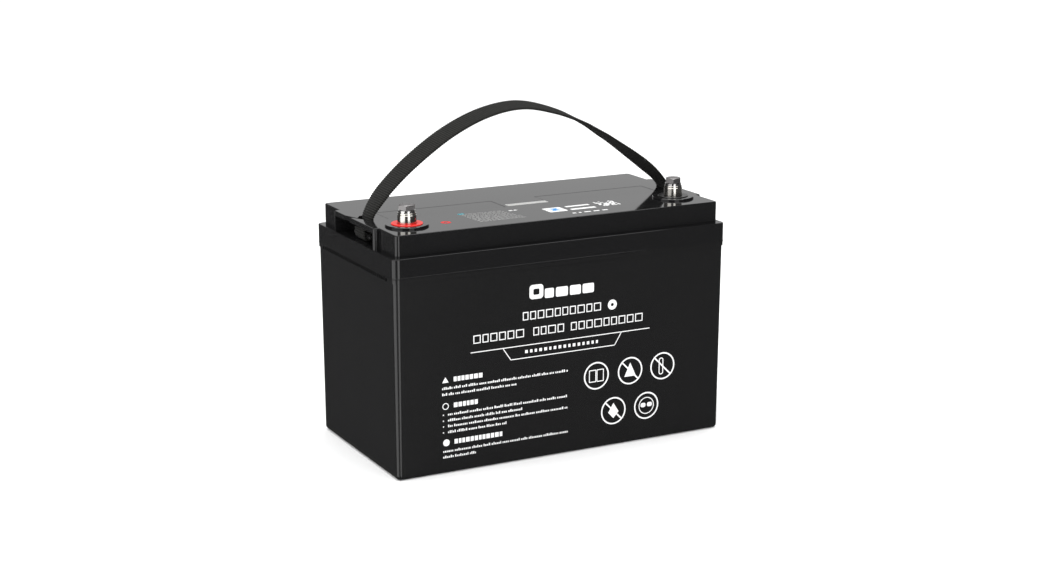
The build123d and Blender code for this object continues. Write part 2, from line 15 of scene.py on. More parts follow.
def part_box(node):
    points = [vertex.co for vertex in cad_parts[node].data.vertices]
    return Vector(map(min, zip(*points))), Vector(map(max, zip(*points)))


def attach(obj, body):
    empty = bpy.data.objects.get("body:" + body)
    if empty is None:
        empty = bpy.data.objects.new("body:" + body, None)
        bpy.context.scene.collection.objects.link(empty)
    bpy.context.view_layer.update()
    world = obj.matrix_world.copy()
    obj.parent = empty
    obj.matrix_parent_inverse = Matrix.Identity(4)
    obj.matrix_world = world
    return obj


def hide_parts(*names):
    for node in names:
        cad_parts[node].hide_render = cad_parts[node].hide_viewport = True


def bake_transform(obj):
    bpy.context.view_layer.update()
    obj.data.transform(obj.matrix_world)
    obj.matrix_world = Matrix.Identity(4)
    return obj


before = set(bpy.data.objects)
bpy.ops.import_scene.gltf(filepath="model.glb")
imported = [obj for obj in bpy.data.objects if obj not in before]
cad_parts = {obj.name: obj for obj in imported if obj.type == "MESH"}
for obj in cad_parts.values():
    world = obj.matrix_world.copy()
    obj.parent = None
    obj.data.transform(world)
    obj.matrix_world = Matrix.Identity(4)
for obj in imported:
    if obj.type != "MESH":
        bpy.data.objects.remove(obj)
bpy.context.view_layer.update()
LOG = logging.getLogger("battery")
MM = 0.001
SEED = 31
BLOCK_LIFT = 0.01

Point2 = tuple[float, float]
Row = tuple[float, float, float]


class Body(Enum):
    """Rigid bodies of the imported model."""

    HOUSING = "housing"
    STRAP = "strap"


class Brushing(Enum):
    """How far a metal's grain is squeezed in height: to level lines, or not at all."""

    LEVEL = 14.0
    EVEN = 1.0


# ---------------------------------------------------------------- shader groups


class NodeBoard:
    """Short way to add and join nodes in one tree."""

    def __init__(self, tree: bpy.types.NodeTree) -> None:
        """Keep the tree.

        Args:
            tree: shader or geometry node tree to fill.
        """
        self.tree = tree

    def add(self, kind: str, inputs: dict[str | int, object] | None = None, **settings: object) -> bpy.types.Node:
        """Add a node, set its properties, then set or join its inputs.

        Args:
            kind: node type identifier.
            inputs: input name or number to a value or a socket.
            settings: node properties.

        Returns:
            The new node.
        """
        node = self.tree.nodes.new(kind)
        for name, value in settings.items():
            setattr(node, name, value)
        for key, value in (inputs or {}).items():
            socket = node.inputs[key]
            if isinstance(value, bpy.types.NodeSocket):
                self.tree.links.new(value, socket)
            else:
                socket.default_value = value
        return node

    def math(self, operation: str, first: object, second: object = 0.0) -> bpy.types.NodeSocket:
        """Add a Math node.

        Args:
            operation: Blender's name for the operation.
            first: first value or socket.
            second: second value or socket.

        Returns:
            The node's output socket.
        """
        return self.add("ShaderNodeMath", {0: first, 1: second}, operation=operation).outputs[0]


class EffectGroups:
    """Shader groups that several finishes share, built once."""

    SKIN_PATCHES = 14.0
    METAL_PATCHES = 90.0
    METAL_TINT = 0.18
    YARN_SLANT = 0.55
    YARN_FUZZ = 1500.0
    # Strength of the painted groove shade and fuzz tone in the webbing colour.
    WEAVE_PAINTED_SHADE_AND_TONE = 1.9

    def __init__(self) -> None:
        """Build every group."""
        self.skin = self._skin()
        self.brushing = self._brushing()
        self.weave = self._weave()

    @staticmethod
    def _start(name: str, numbers: dict[str, float], outputs: tuple[str, ...]) -> tuple[NodeBoard, bpy.types.Node]:
        """Make an empty group with a colour input and number inputs.

        Args:
            name: group name.
            numbers: number inputs and their defaults.
            outputs: output names; Color is a colour and the others are numbers.

        Returns:
            The group's board and its input node.
        """
        tree = bpy.data.node_groups.new(name, "ShaderNodeTree")
        color = tree.interface.new_socket("Color", in_out="INPUT", socket_type="NodeSocketColor")
        color.default_value = (0.5, 0.5, 0.5, 1.0)
        for label, value in numbers.items():
            socket = tree.interface.new_socket(label, in_out="INPUT", socket_type="NodeSocketFloat")
            socket.default_value = value
        for label in outputs:
            kind = "NodeSocketColor" if label == "Color" else "NodeSocketFloat"
            tree.interface.new_socket(label, in_out="OUTPUT", socket_type=kind)
        board = NodeBoard(tree)
        return board, board.add("NodeGroupInput")

    @staticmethod
    def _tint(board: NodeBoard, color: object, factor: object, spread: object) -> bpy.types.NodeSocket:
        """Lighten and darken a colour round its own value.

        Args:
            board: tree to build in.
            color: base colour socket.
            factor: pattern from 0 to 1.
            spread: share of the colour by which it changes.

        Returns:
            The changed colour.
        """
        swing = board.math("MULTIPLY", board.math("SUBTRACT", factor, 0.5), spread)
        gain = board.math("ADD", swing, 1.0)
        scaled = board.add("ShaderNodeVectorMath", {0: color, "Scale": gain}, operation="SCALE")
        return scaled.outputs[0]

    def _skin(self) -> bpy.types.NodeTree:
        """Moulded plastic, rubber or print: fine grain with slow patches of gloss.

        Returns:
            The group.
        """
        board, entry = self._start(
            "moulded_skin",
            {"Grain Scale": 900.0, "Roughness": 0.4, "Roughness Spread": 0.1, "Color Spread": 0.1},
            ("Color", "Roughness", "Height"),
        )
        place = board.add("ShaderNodeTexCoord").outputs["Object"]
        grain = board.add("ShaderNodeTexNoise", {"Vector": place, "Scale": entry.outputs["Grain Scale"], "Detail": 3.0})
        patch = board.add(
            "ShaderNodeTexNoise", {"Vector": place, "Scale": self.SKIN_PATCHES, "Detail": 4.0, "Roughness": 0.6}
        )
        rough_swing = board.math(
            "MULTIPLY", board.math("SUBTRACT", patch.outputs[0], 0.5), entry.outputs["Roughness Spread"]
        )
        mixed = board.math("MULTIPLY", board.math("ADD", grain.outputs[0], patch.outputs[0]), 0.5)
        board.add(
            "NodeGroupOutput",
            {
                "Color": self._tint(board, entry.outputs["Color"], mixed, entry.outputs["Color Spread"]),
                "Roughness": board.math("ADD", entry.outputs["Roughness"], rough_swing),
                "Height": grain.outputs[0],
            },
        )
        return board.tree

    def _brushing(self) -> bpy.types.NodeTree:
        """Metal: stretched fine lines over slow patches.

        Returns:
            The group.
        """
        board, entry = self._start(
            "brushed_plating",
            {"Line Scale": 700.0, "Roughness": 0.2, "Roughness Spread": 0.15, "Stretch": 10.0},
            ("Color", "Roughness", "Height"),
        )
        place = board.add("ShaderNodeTexCoord").outputs["Object"]
        stretch = board.add("ShaderNodeCombineXYZ", {0: 1.0, 1: 1.0, 2: entry.outputs["Stretch"]})
        drawn = board.add("ShaderNodeVectorMath", {0: place, 1: stretch.outputs[0]}, operation="MULTIPLY")
        lines = board.add(
            "ShaderNodeTexNoise", {"Vector": drawn.outputs[0], "Scale": entry.outputs["Line Scale"], "Detail": 4.0}
        )
        patch = board.add("ShaderNodeTexNoise", {"Vector": place, "Scale": self.METAL_PATCHES, "Detail": 3.0})
        mixed = board.math("MULTIPLY", board.math("ADD", lines.outputs[0], patch.outputs[0]), 0.5)
        swing = board.math("MULTIPLY", board.math("SUBTRACT", mixed, 0.5), entry.outputs["Roughness Spread"])
        board.add(
            "NodeGroupOutput",
            {
                "Color": self._tint(board, entry.outputs["Color"], mixed, self.METAL_TINT),
                "Roughness": board.math("ADD", entry.outputs["Roughness"], swing),
                "Height": lines.outputs[0],
            },
        )
        return board.tree

    def _weave(self) -> bpy.types.NodeTree:
        """Webbing: twisted yarns on the piece's own UV map, u along and v across, in millimetres; its colour holds
        painted shade, darker in the grooves between cross ribs and between yarns, with a random fuzz tone.

        Returns:
            The group.
        """
        board, entry = self._start(
            "webbing_weave",
            {"Rib Pitch": 2.0, "Yarn Pitch": 1.1, "Roughness": 0.8},
            ("Color", "Roughness", "Height"),
        )
        split = board.add("ShaderNodeSeparateXYZ", {0: board.add("ShaderNodeUVMap", uv_map="webbing").outputs[0]})
        along, across = split.outputs[0], split.outputs[1]

        def wave(value: object, pitch: object) -> bpy.types.NodeSocket:
            """Cosine of a given pitch, from 0 to 1."""
            turn = board.math("MULTIPLY", board.math("DIVIDE", value, pitch), math.tau)
            return board.math("MULTIPLY", board.math("ADD", board.math("COSINE", turn), 1.0), 0.5)

        rib = wave(along, entry.outputs["Rib Pitch"])
        slant = board.math("ADD", across, board.math("MULTIPLY", along, self.YARN_SLANT))
        yarn = wave(slant, entry.outputs["Yarn Pitch"])
        fuzz = board.add(
            "ShaderNodeTexNoise",
            {"Vector": board.add("ShaderNodeTexCoord").outputs["Object"], "Scale": self.YARN_FUZZ, "Detail": 2.0},
        )
        # Painted shade: the colour darkens in the grooves between cross ribs and between yarns, where real shade falls;
        # the fuzz noise adds a random tone on top.
        lit = board.math("MULTIPLY", board.math("ADD", board.math("MULTIPLY", yarn, 0.5), 0.5), rib)
        painted_shade_and_fuzz = board.math("MULTIPLY", board.math("ADD", lit, board.math("MULTIPLY", fuzz.outputs[0], 0.5)), 0.8)
        height = board.math("ADD", board.math("MULTIPLY", yarn, 0.6), board.math("MULTIPLY", fuzz.outputs[0], 0.4))
        board.add(
            "NodeGroupOutput",
            {
                "Color": self._tint(board, entry.outputs["Color"], painted_shade_and_fuzz, self.WEAVE_PAINTED_SHADE_AND_TONE),
                "Roughness": board.math(
                    "ADD", entry.outputs["Roughness"], board.math("MULTIPLY", fuzz.outputs[0], 0.1)
                ),
                "Height": height,
            },
        )
        return board.tree


# ---------------------------------------------------------------- finishes


@dataclass(frozen=True)
class Finish:
    """Moulded, printed or rubbery finish."""

    name: str
    color: tuple[float, float, float]
    roughness: float = 0.4
    spread: float = 0.1
    color_spread: float = 0.12
    grain: float = 900.0
    depth: float = 0.02
    specular: float = 0.5
    coat: float = 0.0

    def _shell(self) -> tuple[bpy.types.Material, NodeBoard, bpy.types.Node]:
        """Start a material with its shader.

        Returns:
            The material, its board and its Principled BSDF.
        """
        material = bpy.data.materials.new(self.name)
        material.use_nodes = True
        board = NodeBoard(material.node_tree)
        return material, board, material.node_tree.nodes["Principled BSDF"]

    def _join(self, board: NodeBoard, shader: bpy.types.Node, effect: bpy.types.Node, distance: float) -> None:
        """Feed an effect group into the shader.

        Args:
            board: the material's board.
            shader: its Principled BSDF.
            effect: group node with Color, Roughness and Height outputs.
            distance: bump height in metres.
        """
        bump = board.add("ShaderNodeBump", {"Height": effect.outputs["Height"], "Strength": 1.0, "Distance": distance})
        board.tree.links.new(effect.outputs["Color"], shader.inputs["Base Color"])
        board.tree.links.new(effect.outputs["Roughness"], shader.inputs["Roughness"])
        board.tree.links.new(bump.outputs[0], shader.inputs["Normal"])

    def material(self, groups: EffectGroups) -> bpy.types.Material:
        """Build the material.

        Args:
            groups: shared shader groups.

        Returns:
            The material.
        """
        material, board, shader = self._shell()
        effect = board.add(
            "ShaderNodeGroup",
            {
                "Color": (*self.color, 1.0),
                "Grain Scale": self.grain,
                "Roughness": self.roughness,
                "Roughness Spread": self.spread,
                "Color Spread": self.color_spread,
            },
            node_tree=groups.skin,
        )
        self._join(board, shader, effect, self.depth * MM)
        shader.inputs["Specular IOR Level"].default_value = self.specular
        shader.inputs["Coat Weight"].default_value = self.coat
        return material


@dataclass(frozen=True)
class Plating(Finish):
    """Plated or bare metal."""

    brushing: Brushing = Brushing.LEVEL

    def material(self, groups: EffectGroups) -> bpy.types.Material:
        """Build the material.

        Args:
            groups: shared shader groups.

        Returns:
            The material.
        """
        material, board, shader = self._shell()
        effect = board.add(
            "ShaderNodeGroup",
            {
                "Color": (*self.color, 1.0),
                "Line Scale": self.grain,
                "Roughness": self.roughness,
                "Roughness Spread": self.spread,
                "Stretch": self.brushing.value,
            },
            node_tree=groups.brushing,
        )
        self._join(board, shader, effect, self.depth * MM)
        shader.inputs["Metallic"].default_value = 1.0
        return material


@dataclass(frozen=True)
class Webbing(Finish):
    """Woven strap finish on the piece's own UV map; its colour holds painted shade in the grooves."""

    rib_pitch: float = 2.0
    sheen: float = 0.04

    def material(self, groups: EffectGroups) -> bpy.types.Material:
        """Build the material.

        Args:
            groups: shared shader groups.

        Returns:
            The material.
        """
        material, board, shader = self._shell()
        effect = board.add(
            "ShaderNodeGroup",
            {"Color": (*self.color, 1.0), "Rib Pitch": self.rib_pitch, "Roughness": self.roughness},
            node_tree=groups.weave,
        )
        self._join(board, shader, effect, self.depth * MM)
        shader.inputs["Specular IOR Level"].default_value = self.specular
        shader.inputs["Sheen Weight"].default_value = self.sheen
        return material


RIB_PITCH = 2.1

CASE_PLASTIC = Finish(
    "case_satin_black", (0.0085, 0.0085, 0.0087),
    roughness=0.22, spread=0.06, color_spread=0.15, grain=1400.0, depth=0.01, specular=0.55,
)
# Near-black teeth: painted shade standing in for the shade inside the small notches along the parting line.
TOOTH_PAINTED_SHADE = Finish(
    "tooth_painted_shade", (0.0015, 0.0015, 0.0015),
    roughness=0.6, spread=0.1, color_spread=0.2, grain=900.0, depth=0.02, specular=0.1,
)
LID_PLASTIC = Finish(
    "lid_gloss_black", (0.0075, 0.0075, 0.0078),
    roughness=0.07, spread=0.05, color_spread=0.15, grain=60.0, depth=0.004, specular=0.5,
)
PANEL_PLASTIC = Finish(
    "panel_gloss_black", (0.0058, 0.0058, 0.006),
    roughness=0.1, spread=0.06, color_spread=0.15, grain=90.0, depth=0.004, specular=0.5,
)
RED_PLASTIC = Finish(
    "ring_red", (0.72, 0.010, 0.006),
    roughness=0.32, spread=0.1, color_spread=0.1, grain=500.0, depth=0.01,
)
BLACK_PLASTIC = Finish(
    "ring_black", (0.012, 0.012, 0.012),
    roughness=0.3, spread=0.1, color_spread=0.2, grain=500.0, depth=0.01,
)
WHITE_PLASTIC = Finish(
    "connector_white", (0.72, 0.71, 0.67),
    roughness=0.45, spread=0.1, color_spread=0.06, grain=500.0, depth=0.01,
)
SEAL_RUBBER = Finish(
    "seal_rubber", (0.02, 0.02, 0.02),
    roughness=0.7, spread=0.1, color_spread=0.3, grain=700.0, depth=0.05,
)
PAD_RUBBER = Finish(
    "pad_rubber", (0.035, 0.035, 0.035),
    roughness=0.8, spread=0.1, color_spread=0.3, grain=500.0, depth=0.1,
)
FOAM = Finish(
    "end_foam", (0.09, 0.09, 0.095),
    roughness=0.95, spread=0.05, color_spread=0.5, grain=420.0, depth=0.5, specular=0.2,
)
BOARD_GREEN = Finish(
    "circuit_board", (0.012, 0.12, 0.045),
    roughness=0.35, spread=0.15, color_spread=0.35, grain=260.0, depth=0.02,
)
RED_LEAD = Finish(
    "lead_red", (0.48, 0.02, 0.018),
    roughness=0.5, spread=0.1, color_spread=0.15, grain=500.0, depth=0.03,
)
BLACK_LEAD = Finish(
    "lead_black", (0.018, 0.018, 0.018),
    roughness=0.5, spread=0.1, color_spread=0.3, grain=500.0, depth=0.03,
)
CELL_FILM = Finish(
    "cell_blue_film", (0.03, 0.10, 0.32),
    roughness=0.3, spread=0.15, color_spread=0.15, grain=180.0, depth=0.02, specular=0.5, coat=0.3,
)
WHITE_INK = Finish(
    "white_print", (0.78, 0.78, 0.78),
    roughness=0.5, spread=0.1, color_spread=0.08, grain=1200.0, depth=0.01, specular=0.3,
)
STRIP_INK = Finish(
    "strip_print", (0.48, 0.48, 0.47),
    roughness=0.5, spread=0.1, color_spread=0.15, grain=1200.0, depth=0.01, specular=0.3,
)
FAINT_INK = Finish(
    "grey_print", (0.30, 0.30, 0.295),
    roughness=0.5, spread=0.1, color_spread=0.25, grain=1200.0, depth=0.01, specular=0.3,
)
TEAL_INK = Finish(
    "teal_print", (0.03, 0.30, 0.36),
    roughness=0.5, spread=0.1, color_spread=0.1, grain=1200.0, depth=0.01, specular=0.3,
)
BLUE_INK = Finish(
    "blue_print", (0.02, 0.24, 0.62),
    roughness=0.5, spread=0.1, color_spread=0.1, grain=1200.0, depth=0.01, specular=0.3,
)
RED_INK = Finish(
    "red_print", (0.55, 0.02, 0.02),
    roughness=0.5, spread=0.1, color_spread=0.1, grain=1200.0, depth=0.01, specular=0.3,
)
NICKEL = Plating(
    "nickel_plating", (0.64, 0.62, 0.575),
    roughness=0.15, spread=0.10, grain=500.0, depth=0.003, brushing=Brushing.EVEN,
)
STEEL = Plating(
    "bright_steel", (0.60, 0.59, 0.58),
    roughness=0.2, spread=0.12, grain=420.0, depth=0.004, brushing=Brushing.EVEN,
)
ZINC = Plating(
    "zinc_flake", (0.31, 0.30, 0.30),
    roughness=0.42, spread=0.2, grain=900.0, depth=0.02, brushing=Brushing.EVEN,
)
ALUMINIUM = Plating(
    "bare_aluminium", (0.80, 0.80, 0.80),
    roughness=0.35, spread=0.15, grain=600.0, depth=0.006,
)
WEBBING = Webbing(
    "black_webbing", (0.0125, 0.0125, 0.0112),
    roughness=0.82, depth=0.12, specular=0.15, rib_pitch=RIB_PITCH,
)
THREAD = Finish(
    "stitch_thread", (0.028, 0.028, 0.026),
    roughness=0.8, spread=0.1, color_spread=0.4, grain=2500.0, depth=0.05, specular=0.3,
)


class Paints:
    """Materials of this scene, each built on first use."""

    def __init__(self) -> None:
        """Build the shader groups."""
        self.groups = EffectGroups()
        self.made: dict[str, bpy.types.Material] = {}

    def get(self, finish: Finish) -> bpy.types.Material:
        """Material of a finish.

        Args:
            finish: finish to look up or build.

        Returns:
            Its material.
        """
        if finish.name not in self.made:
            self.made[finish.name] = finish.material(self.groups)
        return self.made[finish.name]

    def dress(self, node: str, finish: Finish) -> None:
        """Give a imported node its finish.

        Args:
            node: node name.
            finish: finish to put on it.
        """
        piece = bpy.data.objects[node]
        if not piece.data.materials:
            piece.data.materials.append(None)
        for index in range(len(piece.data.materials)):
            piece.data.materials[index] = self.get(finish)


# ---------------------------------------------------------------- mesh help


def ease(share: float) -> float:
    """Share from 0 to 1 with a soft start and end."""
    share = min(max(share, 0.0), 1.0)
    return share * share * (3 - 2 * share)


def circle(center: Point2, radius: float, count: int = 48, start: float = 0.0) -> list[Point2]:
    """Points round a circle.

    Args:
        center: centre.
        radius: radius.
        count: number of points.
        start: angle of the first point in radians.

    Returns:
        The points, anticlockwise.
    """
    steps = [start + math.tau * index / count for index in range(count)]
    return [(center[0] + radius * math.cos(a), center[1] + radius * math.sin(a)) for a in steps]


def rounded_box(center: Point2, width: float, height: float, corner: float, count: int = 6) -> list[Point2]:
    """Points round a rectangle with rounded corners.

    Args:
        center: centre.
        width: size along the first axis.
        height: size along the second axis.
        corner: corner radius.
        count: steps in each corner.

    Returns:
        The points, anticlockwise.
    """
    points = []
    for turn, (sx, sy) in enumerate(((1, 1), (-1, 1), (-1, -1), (1, -1))):
        cx = center[0] + sx * (width / 2 - corner)
        cy = center[1] + sy * (height / 2 - corner)
        for step in range(count + 1):
            angle = math.pi / 2 * (turn + step / count)
            points.append((cx + corner * math.cos(angle), cy + corner * math.sin(angle)))
    return points


@dataclass
class FaceMap:
    """Flat or slightly leaning face that prints lie on, in millimetres."""

    origin: Vector
    right: Vector
    up: Vector

    @property
    def out(self) -> Vector:
        """Outward direction."""
        return self.right.cross(self.up).normalized()

    def at(self, x: float, y: float, lift: float) -> Vector:
        """Point in metres.

        Args:
            x: distance along the face's right.
            y: distance along the face's up.
            lift: distance out of the face.

        Returns:
            The point.
        """
        return (self.origin + self.right * x + self.up * y + self.out * lift) * MM


@dataclass
class PrintLayer:
    """Thin raised ink shapes that share one colour and lie on one face."""

    face: FaceMap
    sunk: float = 0.05
    proud: float = 0.07
    verts: list[Vector] = field(default_factory=list)
    faces: list[tuple[int, ...]] = field(default_factory=list)

    def solid(self, outline: list[Point2]) -> None:
        """Add a filled shape.

        Args:
            outline: its points, anticlockwise.
        """
        base, count = len(self.verts), len(outline)
        for lift in (-self.sunk, self.proud):
            self.verts += [self.face.at(x, y, lift) for x, y in outline]
        self.faces.append(tuple(base + index for index in reversed(range(count))))
        self.faces.append(tuple(base + count + index for index in range(count)))
        self._walls(base, base + count, count, False)

    def band(self, outer: list[Point2], inner: list[Point2]) -> None:
        """Add an outlined shape.

        Args:
            outer: outer points, anticlockwise.
            inner: as many inner points, anticlockwise.
        """
        count = len(outer)
        base = len(self.verts)
        for lift in (-self.sunk, self.proud):
            for ring in (outer, inner):
                self.verts += [self.face.at(x, y, lift) for x, y in ring]
        low_out, low_in, top_out, top_in = (base + count * index for index in range(4))
        self._walls(low_out, top_out, count, False)
        self._walls(low_in, top_in, count, True)
        for index in range(count):
            after = (index + 1) % count
            self.faces.append((top_out + index, top_out + after, top_in + after, top_in + index))
            self.faces.append((low_out + index, low_in + index, low_in + after, low_out + after))

    def ring(self, center: Point2, radius: float, stroke: float) -> None:
        """Add a round outline."""
        self.band(circle(center, radius, 64), circle(center, radius - stroke, 64))

    def line(self, start: Point2, end: Point2, stroke: float) -> None:
        """Add a straight stroke.

        Args:
            start: one end.
            end: other end.
            stroke: line width.
        """
        a, b = Vector(start), Vector(end)
        side = Vector((a.y - b.y, b.x - a.x)).normalized() * stroke / 2
        self.solid([tuple(a - side), tuple(b - side), tuple(b + side), tuple(a + side)])

    def join(self, other: PrintLayer) -> None:
        """Take over another layer's shapes.

        Args:
            other: layer of the same ink.
        """
        base = len(self.verts)
        self.verts += other.verts
        self.faces += [tuple(base + index for index in face) for face in other.faces]

    def _walls(self, low: int, top: int, count: int, inward: bool) -> None:
        """Add the side faces between two rings.

        Args:
            low: number of the lower ring's first point.
            top: number of the upper ring's first point.
            count: points in each ring.
            inward: whether the faces look to the middle.
        """
        for index in range(count):
            after = (index + 1) % count
            quad = (low + index, low + after, top + after, top + index)
            self.faces.append(tuple(reversed(quad)) if inward else quad)

    def piece(self, name: str, material: bpy.types.Material) -> bpy.types.Object:
        """Turn the layer into a piece that rides on the housing.

        Args:
            name: piece name.
            material: its ink.

        Returns:
            The piece.
        """
        return make_piece(name, self.verts, self.faces, material, Body.HOUSING)


def make_piece(
    name: str,
    verts: list[Vector],
    faces: list[tuple[int, ...]],
    material: bpy.types.Material,
    body: Body,
) -> bpy.types.Object:
    """Make a mesh piece and let it ride on a body.

    Args:
        name: piece name.
        verts: points in metres.
        faces: faces as point numbers.
        material: its material.
        body: body that carries it.

    Returns:
        The piece.
    """
    piece = add_mesh(name, verts, faces, material)
    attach(piece, body.value)
    return piece


def add_mesh(
    name: str, verts: list[Vector], faces: list[tuple[int, ...]], material: bpy.types.Material | None
) -> bpy.types.Object:
    """Add a mesh object to the scene.

    Args:
        name: object name.
        verts: points in metres.
        faces: faces as point numbers.
        material: its material, or None.

    Returns:
        The object.
    """
    mesh = bpy.data.meshes.new(name)
    mesh.from_pydata(verts, [], faces)
    mesh.update()
    if material is not None:
        mesh.materials.append(material)
    made = bpy.data.objects.new(name, mesh)
    bpy.context.scene.collection.objects.link(made)
    return made


def bake_nodes(carrier: bpy.types.Object, tree: bpy.types.NodeTree, values: dict[str, object]) -> None:
    """Run a geometry node tree on an object and keep the result as its plain mesh.

    Args:
        carrier: object whose mesh the tree reads.
        tree: geometry node tree.
        values: input name to value.
    """
    modifier = carrier.modifiers.new(tree.name, "NODES")
    modifier.node_group = tree
    sockets = {item.name: item.identifier for item in tree.interface.items_tree if item.in_out == "INPUT"}
    for name, value in values.items():
        modifier[sockets[name]] = value
    evaluated = carrier.evaluated_get(bpy.context.evaluated_depsgraph_get())
    mesh = bpy.data.meshes.new_from_object(evaluated)
    mesh.name = carrier.name
    carrier.modifiers.remove(modifier)
    carrier.data = mesh


class NodeTrees:
    """Geometry node trees for what repeats on this battery."""

    def __init__(self) -> None:
        """Build every tree."""
        self.solid_blocks = self._blocks("solid_mark_blocks", hollow=False)
        self.hollow_blocks = self._blocks("hollow_mark_blocks", hollow=True)
        self.ribs = self._ribs()
        self.stitches = self._stitches()

    @staticmethod
    def _start(name: str, numbers: dict[str, float]) -> tuple[NodeBoard, bpy.types.Node]:
        """Make an empty tree with a geometry in and out, number inputs and a material input.

        Args:
            name: tree name.
            numbers: number inputs and their defaults.

        Returns:
            The tree's board and its input node.
        """
        tree = bpy.data.node_groups.new(name, "GeometryNodeTree")
        tree.interface.new_socket("Geometry", in_out="INPUT", socket_type="NodeSocketGeometry")
        for label, value in numbers.items():
            socket = tree.interface.new_socket(label, in_out="INPUT", socket_type="NodeSocketFloat")
            socket.default_value = value
        tree.interface.new_socket("Material", in_out="INPUT", socket_type="NodeSocketMaterial")
        tree.interface.new_socket("Geometry", in_out="OUTPUT", socket_type="NodeSocketGeometry")
        board = NodeBoard(tree)
        return board, board.add("NodeGroupInput")

    @staticmethod
    def _end(board: NodeBoard, entry: bpy.types.Node, geometry: bpy.types.NodeSocket) -> bpy.types.NodeTree:
        """Realize, set the material and close the tree.

        Args:
            board: the tree's board.
            entry: its input node.
            geometry: last geometry socket.

        Returns:
            The tree.
        """
        realized = board.add("GeometryNodeRealizeInstances", {0: geometry})
        painted = board.add(
            "GeometryNodeSetMaterial", {"Geometry": realized.outputs[0], "Material": entry.outputs["Material"]}
        )
        board.add("NodeGroupOutput", {0: painted.outputs[0]})
        return board.tree

    def _blocks(self, name: str, hollow: bool) -> bpy.types.NodeTree:
        """Blocks of ink on points; each point holds its block's width and height.

        Args:
            name: tree name.
            hollow: whether the blocks are outlines of a given stroke.

        Returns:
            The tree.
        """
        board, entry = self._start(name, {"Thickness": 0.12 * MM, "Stroke": 1.0 * MM})
        sizes = [
            board.add("GeometryNodeInputNamedAttribute", {"Name": label}, data_type="FLOAT").outputs[0]
            for label in ("block_width", "block_height")
        ]
        turn = board.add("GeometryNodeInputNamedAttribute", {"Name": "block_turn"}, data_type="FLOAT_VECTOR").outputs[0]
        if hollow:
            shape = board.add("GeometryNodeCurvePrimitiveQuadrilateral", {"Width": 1.0, "Height": 1.0}).outputs[0]
            scale = board.add("ShaderNodeCombineXYZ", {0: sizes[0], 1: sizes[1], 2: 1.0})
        else:
            shape = board.add("GeometryNodeMeshCube", {"Size": (1.0, 1.0, 1.0)}).outputs[0]
            scale = board.add("ShaderNodeCombineXYZ", {0: sizes[0], 1: sizes[1], 2: entry.outputs["Thickness"]})
        placed = board.add(
            "GeometryNodeInstanceOnPoints",
            {"Points": entry.outputs[0], "Instance": shape, "Rotation": turn, "Scale": scale.outputs[0]},
        ).outputs[0]
        if hollow:
            outline = board.add("GeometryNodeRealizeInstances", {0: placed})
            profile = board.add(
                "GeometryNodeCurvePrimitiveQuadrilateral",
                {"Width": entry.outputs["Thickness"], "Height": entry.outputs["Stroke"]},
            )
            placed = board.add(
                "GeometryNodeCurveToMesh", {"Curve": outline.outputs[0], "Profile Curve": profile.outputs[0]}
            ).outputs[0]
        return self._end(board, entry, placed)

    def _ribs(self) -> bpy.types.NodeTree:
        """Cross ribs raised along a ribbon that holds its length in millimetres as an attribute.

        Returns:
            The tree.
        """
        board, entry = self._start("webbing_cross_ribs", {"Rib Pitch": 2.0, "Rib Height": 0.2 * MM})
        along = board.add("GeometryNodeInputNamedAttribute", {"Name": "along"}, data_type="FLOAT").outputs[0]
        turn = board.math("MULTIPLY", board.math("DIVIDE", along, entry.outputs["Rib Pitch"]), math.tau)
        lift = board.math("MULTIPLY", board.math("COSINE", turn), entry.outputs["Rib Height"])
        normal = board.add("GeometryNodeInputNormal").outputs[0]
        offset = board.add("ShaderNodeVectorMath", {0: normal, "Scale": lift}, operation="SCALE")
        moved = board.add("GeometryNodeSetPosition", {"Geometry": entry.outputs[0], "Offset": offset.outputs[0]})
        return self._end(board, entry, moved.outputs[0])

    def _stitches(self) -> bpy.types.NodeTree:
        """Short thread stitches on points that hold their own turn.

        Returns:
            The tree.
        """
        board, entry = self._start("sewn_stitches", {"Stitch Length": 2.4 * MM, "Thread Radius": 0.32 * MM})
        turn = board.add("GeometryNodeInputNamedAttribute", {"Name": "block_turn"}, data_type="FLOAT_VECTOR").outputs[0]
        ball = board.add("GeometryNodeMeshUVSphere", {"Segments": 8, "Rings": 6, "Radius": 1.0})
        half = board.math("MULTIPLY", entry.outputs["Stitch Length"], 0.5)
        radius = entry.outputs["Thread Radius"]
        scale = board.add("ShaderNodeCombineXYZ", {0: half, 1: radius, 2: radius})
        placed = board.add(
            "GeometryNodeInstanceOnPoints",
            {
                "Points": entry.outputs[0],
                "Instance": ball.outputs[0],
                "Rotation": turn,
                "Scale": scale.outputs[0],
            },
        )
        return self._end(board, entry, placed.outputs[0])


@dataclass
class Block:
    """One block of a row of marks, in millimetres on its face."""

    x: float
    y: float
    width: float
    height: float


def mark_row(
    rng: random.Random, left: float, right: float, middle: float, height: float, widths: Point2, gap: float
) -> list[Block]:
    """Blocks of uneven width that fill a row from end to end.

    Args:
        rng: seeded random source.
        left: start of the row.
        right: end of the row.
        middle: height of the row's middle line.
        height: block height.
        widths: least and greatest block width.
        gap: space between blocks.

    Returns:
        The blocks.
    """
    blocks, x = [], left
    while x < right - widths[0]:
        width = min(rng.uniform(*widths), right - x)
        blocks.append(Block(x + width / 2, middle, width, height))
        x += width + gap
    return blocks


@dataclass(frozen=True)
class FinePrint:
    """Block sizes of the small print, in millimetres, and how many blocks make a word."""

    widths: Point2 = (0.8, 1.35)
    low: float = 1.55
    tall: float = 2.3
    tall_share: float = 0.3
    drop: float = 0.95
    gap: float = 0.62
    word_gap: float = 1.5
    word: tuple[int, int] = (3, 9)


